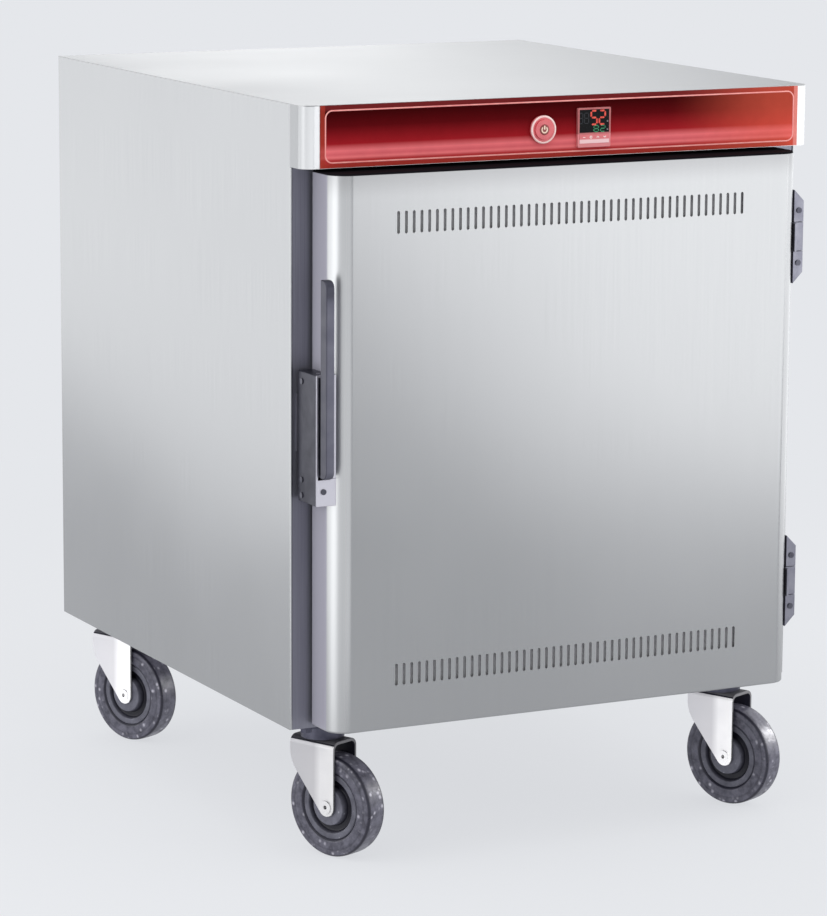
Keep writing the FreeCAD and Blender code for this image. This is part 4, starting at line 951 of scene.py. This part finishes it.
def easedOutline(half, steps):
    # the outline and its mirror image; a corner turns into a short parabola between points on its two sides
    mirror = half[::-1] * np.array([-1.0, 1.0, 1.0])
    bends = np.concatenate([half, mirror])
    at, cut = bends[:, :2], bends[:, 2:]
    back, ahead = np.roll(at, 1, 0) - at, np.roll(at, -1, 0) - at
    start = at + back / np.linalg.norm(back, axis=1, keepdims=True) * cut
    end = at + ahead / np.linalg.norm(ahead, axis=1, keepdims=True) * cut
    t = np.linspace(0.0, 1.0, steps)[None, :, None]
    curve = (1 - t) ** 2 * start[:, None] + 2 * t * (1 - t) * at[:, None] + t ** 2 * end[:, None]
    return curve.reshape(-1, 2)


def turnedPiece(name, outline, middle, axle, setup):
    # the outline is carried round the axle
    angle = roundAngles(setup["turns"])[:, None]
    up = np.array([0.0, 0.0, 1.0])
    radial = np.cos(angle) * up + np.sin(angle) * np.cross(axle, up)
    points = middle + outline[None, :, :1] * axle + outline[None, :, 1:] * radial[:, None]
    return gridPiece(name, points, closeU=True, closeV=True, sharpAngle=setup["sharpAngle"])


def ringMask(distance, middle, width):
    # 1 up to half a width from the middle, falling to 0 at one and a half
    return np.clip(1.5 - np.abs(distance - middle) / width, 0.0, 1.0)


def buildWheels(setup):
    # each outline point has its marks: painted shade grows from shallow to full depth, one ring is a painted shade
    # line and one gets more pale flecks as painted glints
    for corner in corners:
        joint = jointOf[corner + "_wheel_spin"]
        middle, axle = np.array(joint["pos_m"]), np.array(joint["axis"])
        for part in ("core", "tyre"):
            node = corner + "_wheel_" + part
            outline = easedOutline(np.array(setup[part]), setup["cornerSteps"])
            piece = turnedPiece(node + "_turned", outline, middle, axle, setup)
            aside, out = np.abs(outline[:, 0]), outline[:, 1]
            shallow, full = setup[part + "ShadeDepth"]
            # painted shade in the recesses and along a line at the tread
            paintedShade = np.clip((shallow - aside) / (shallow - full), 0.0, 1.0) * (out < setup["treadFrom"])
            deep = np.where(out > setup["edgeFrom"], ringMask(aside, *setup["shadeLine"]), paintedShade)
            # painted glints: more pale flecks along this ring
            worn = ringMask(out, *setup["shoulder"])
            writeMark(piece, "deep", "POINT", np.tile(deep, setup["turns"]))
            writeMark(piece, "worn", "POINT", np.tile(worn, setup["turns"]))
            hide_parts(node)
            rideOn(piece, bodyOf[node], part)


buildWheels(wheelLook)
print("wheels turned")

# Sheet trough behind each row of door slots
slotLook = {"fromBottom": 0.067, "fromTop": 0.060, "fromSide": 0.078, "halfHeight": 0.0175, "skin": 0.0012,
            "depth": 0.0045, "slope": 0.003, "thick": 0.0006}


def buildSlotBacking(setup):
    # a shallow open section of four corners, carried straight across behind the skin
    low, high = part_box("door_skin")
    back = low[1] + setup["skin"]
    half = setup["halfHeight"]
    deep = back + np.array([0.0, setup["depth"], setup["depth"], 0.0])
    rise = np.array([-half, setup["slope"] - half, half - setup["slope"], half])
    ends = np.array([low[0] + setup["fromSide"], high[0] - setup["fromSide"]])
    rows = {"lower_slot_trough": low[2] + setup["fromBottom"],
            "upper_slot_trough": high[2] - setup["fromTop"]}
    for name, level in rows.items():
        x, y = np.meshgrid(ends, deep, indexing="ij")
        z = np.broadcast_to(level + rise, x.shape)
        trough = gridPiece(name, np.stack([x, y, z], -1), smooth=False, outward=False)
        wall = trough.modifiers.new("wall", "SOLIDIFY")
        wall.thickness = setup["thick"]
        wall.offset = 0.0
        rideOn(trough, "door", "troughSteel")


buildSlotBacking(slotLook)

# Fascia border: a thin pale line round the print
borderLook = {"inset": 0.0062, "radius": 0.009, "cornerSteps": 10, "width": 0.0019, "topShare": 0.7,
              "thick": 0.00025, "sink": 0.0001}


def flatSection(width, topShare, thick, sink=0.0):
    # flat strip, a little narrower on its face; the sink reaches into what carries it
    half, top = width / 2, width / 2 * topShare
    return np.array([[-half, -sink], [half, -sink], [top, thick], [-top, thick]])


def buildBorder(setup):
    # rounded rectangle: four quarter circles joined by straight runs; the section lies flat on the fascia
    low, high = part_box("fascia_panel")
    radius, steps = setup["radius"], setup["cornerSteps"]
    x0, x1 = low[0] + setup["inset"] + radius, high[0] - setup["inset"] - radius
    z0, z1 = low[2] + setup["inset"] + radius, high[2] - setup["inset"] - radius
    quarter = np.linspace(0.0, np.pi / 2, steps)
    angle = np.concatenate([quarter + np.pi / 2 * k for k in range(4)])
    middleX = np.repeat([x1, x0, x0, x1], steps)
    middleZ = np.repeat([z1, z1, z0, z0], steps)
    outward = uprightCircle(angle)
    path = np.stack([middleX, np.full_like(angle, low[1]), middleZ], -1) + radius * outward
    section = flatSection(setup["width"], setup["topShare"], setup["thick"], setup["sink"])
    border = sweepPiece("fascia_border", path, outward, section, closed=True)
    rideOn(border, "cabinet", "borderPink")


buildBorder(borderLook)

# Display: seven-segment figures, indicator dots and the marks on the keys
displayLook = {
    "segmentThick": 0.00022,
    "pull": 0.45,                     # share of the stroke by which a bar stops short of its corner
    "figures": {
        "upper": {"text": "52", "right": 0.0055, "top": 0.0016, "width": 0.0080, "height": 0.0165,
                  "gap": 0.0034, "stroke": 0.0022, "finish": "segmentRed"},
        "lower": {"text": "82", "right": 0.0055, "top": 0.0196, "width": 0.0062, "height": 0.0074,
                  "gap": 0.0030, "stroke": 0.0013, "finish": "segmentGreen"},
        "unlit": {"text": "88", "right": 0.0285, "top": 0.0040, "width": 0.0056, "height": 0.0125,
                  "gap": 0.0024, "stroke": 0.0010, "finish": "segmentOff"},
    },
    "dotRadius": 0.0011,
    "dotsFromRight": 0.0020,
    "dotsFromTop": (0.0145, 0.0245),
}
segmentEnds = {                       # ends of the seven bars in a cell, from its lower left corner
    "a": ((0, 1), (1, 1)), "b": ((1, 1), (1, 0.5)), "c": ((1, 0.5), (1, 0)), "d": ((0, 0), (1, 0)),
    "e": ((0, 0), (0, 0.5)), "f": ((0, 0.5), (0, 1)), "g": ((0, 0.5), (1, 0.5)),
}
barsOf = {"2": "abged", "5": "afgcd", "8": "abcdefg"}
domeLook = {"rings": (1.0, 0.95, 0.6, 0.05), "heights": (0.0, 0.5, 0.9, 1.0), "turns": 24}


def buildFigures(name, look, setup):
    # each bar runs between two corners of its cell, pulled in a little so that the bars don't touch
    low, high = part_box("display_window")
    size = np.array([look["width"], look["height"]])
    starts, ends = [], []
    for place, figure in enumerate(reversed(look["text"])):
        right = high[0] - look["right"] - place * (look["width"] + look["gap"])
        corner = np.array([right - look["width"], high[2] - look["top"] - look["height"]])
        for bar in barsOf[figure]:
            first, last = (np.array(end) * size for end in segmentEnds[bar])
            pull = (last - first) / np.linalg.norm(last - first) * look["stroke"] * setup["pull"]
            starts.append(corner + first + pull)
            ends.append(corner + last - pull)
    piece = barPieces(name, starts, ends, look["stroke"], setup["segmentThick"], low[1])
    rideOn(piece, "cabinet", look["finish"])


def discPiece(name, middles, radius, thick, front):
    # shallow domes: the radius shrinks from ring to ring as the height grows
    rings = np.array(domeLook["rings"])[:, None] * radius
    angle = roundAngles(domeLook["turns"])
    x, z = rings * np.cos(angle), rings * np.sin(angle)
    y = np.broadcast_to(front - np.array(domeLook["heights"])[:, None] * thick, x.shape)
    points = [np.stack([middleX + x, y, middleZ + z], -1) for middleX, middleZ in middles]
    return meshPiece(name, points, tubeFaces(len(middles), *x.shape))


def buildDisplay(setup):
    low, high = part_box("display_window")
    for row, look in setup["figures"].items():
        buildFigures("display_" + row + "_figures", look, setup)
    x = high[0] - setup["dotsFromRight"]
    dots = discPiece("display_dots", [(x, high[2] - down) for down in setup["dotsFromTop"]],
                     setup["dotRadius"], setup["segmentThick"], low[1])
    rideOn(dots, "cabinet", "lampDot")


buildDisplay(displayLook)

keyLook = {"stroke": 0.0011, "thick": 0.0002, "size": 0.0034, "step": 0.0095, "up": 0.0020}


def buildKeyMarks(setup):
    # four marks across the strip: a bar, a square turned on its corner, and arrows up and down
    low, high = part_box("key_strip")
    size = setup["size"] / 2
    middle = (low[0] + high[0]) / 2
    level = (low[2] + high[2]) / 2 + setup["up"]
    at = middle + (np.arange(4) - 1.5) * setup["step"]
    strokes = [((-1, 0), (1, 0)),
               ((-1, 0), (0, 1)), ((0, 1), (1, 0)), ((1, 0), (0, -1)), ((0, -1), (-1, 0)),
               ((-1, -0.5), (0, 0.5)), ((0, 0.5), (1, -0.5)),
               ((-1, 0.5), (0, -0.5)), ((0, -0.5), (1, 0.5))]
    owner = np.array([0, 1, 1, 1, 1, 2, 2, 3, 3])
    ends = np.array(strokes) * size + np.stack([at[owner], np.full(len(owner), level)], -1)[:, None]
    marks = barPieces("key_marks", ends[:, 0], ends[:, 1], setup["stroke"], setup["thick"], low[1])
    rideOn(marks, "cabinet", "rimPale")


buildKeyMarks(keyLook)

# Push button: pale rim round the ring, dark dish in the cap with a power mark
buttonLook = {"rimRadius": 0.0158, "rimTube": 0.0014, "rimSink": 0.0006, "rimTurns": 64,
              "dishRadius": 0.0066, "dishThick": 0.0003, "markSink": 0.9,
              "markRadius": 0.0036, "markStroke": 0.0017, "markThick": 0.0003, "markTop": 0.8,
              "markSteps": 33, "gapAngle": 40.0, "barReach": 1.45}


def buildButton(setup):
    low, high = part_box("power_button")
    middleX, middleZ = (low[0] + high[0]) / 2, (low[2] + high[2]) / 2
    ringFront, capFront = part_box("switch_body")[0][1], low[1]
    # rim: a circle carried round a circle
    radial = uprightCircle(roundAngles(setup["rimTurns"]))
    path = np.array([middleX, ringFront + setup["rimSink"], middleZ]) + setup["rimRadius"] * radial
    rim = sweepPiece("button_rim", path, radial, circleSection(setup["rimTube"]), closed=True)
    rideOn(rim, "cabinet", "rimPale")
    dish = discPiece("button_dish", [(middleX, middleZ)], setup["dishRadius"], setup["dishThick"], capFront)
    rideOn(dish, "button", "symbolBrown")
    # mark: an open circle and a short upright bar, both a flat section carried along their line
    markFront = capFront - setup["dishThick"] * setup["markSink"]
    gap = math.radians(setup["gapAngle"])
    radial = uprightCircle(np.linspace(np.pi / 2 + gap, 2.5 * np.pi - gap, setup["markSteps"]))
    path = np.array([middleX, markFront, middleZ]) + setup["markRadius"] * radial
    section = flatSection(setup["markStroke"], setup["markTop"], setup["markThick"])
    circle = sweepPiece("button_mark_circle", path, radial, section)
    rideOn(circle, "button", "symbolCream")
    barTop = middleZ + setup["markRadius"] * setup["barReach"]
    bar = barPieces("button_mark_bar", [(middleX, middleZ)], [(middleX, barTop)],
                    setup["markStroke"], setup["markThick"], markFront)
    rideOn(bar, "button", "symbolCream")


buildButton(buttonLook)
print("controls drawn")

# Rolled hem along the front edge of each side panel
hemLook = {"radius": 0.0016, "clear": 0.0005}


def buildHems(setup):
    # a small circle carried straight up the edge of the panel
    section = circleSection(setup["radius"])
    across = np.array([[1.0, 0.0, 0.0]])
    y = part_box("front_frame")[0][1]
    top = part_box("control_hood")[0][2] - setup["clear"]
    for side, node in ((-1.0, "left_side_panel"), (1.0, "right_side_panel")):
        low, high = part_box(node)
        edge = low[0] if side < 0 else high[0]
        x = edge - side * setup["radius"]
        path = np.array([[x, y, low[2] + setup["clear"]], [x, y, top]])
        hem = sweepPiece(node.replace("panel", "hem"), path, across, section)
        rideOn(hem, "cabinet", "sideSteel")


buildHems(hemLook)
print("sheet edges hemmed")

limitLamps(studio)
print("cabinet dressed")
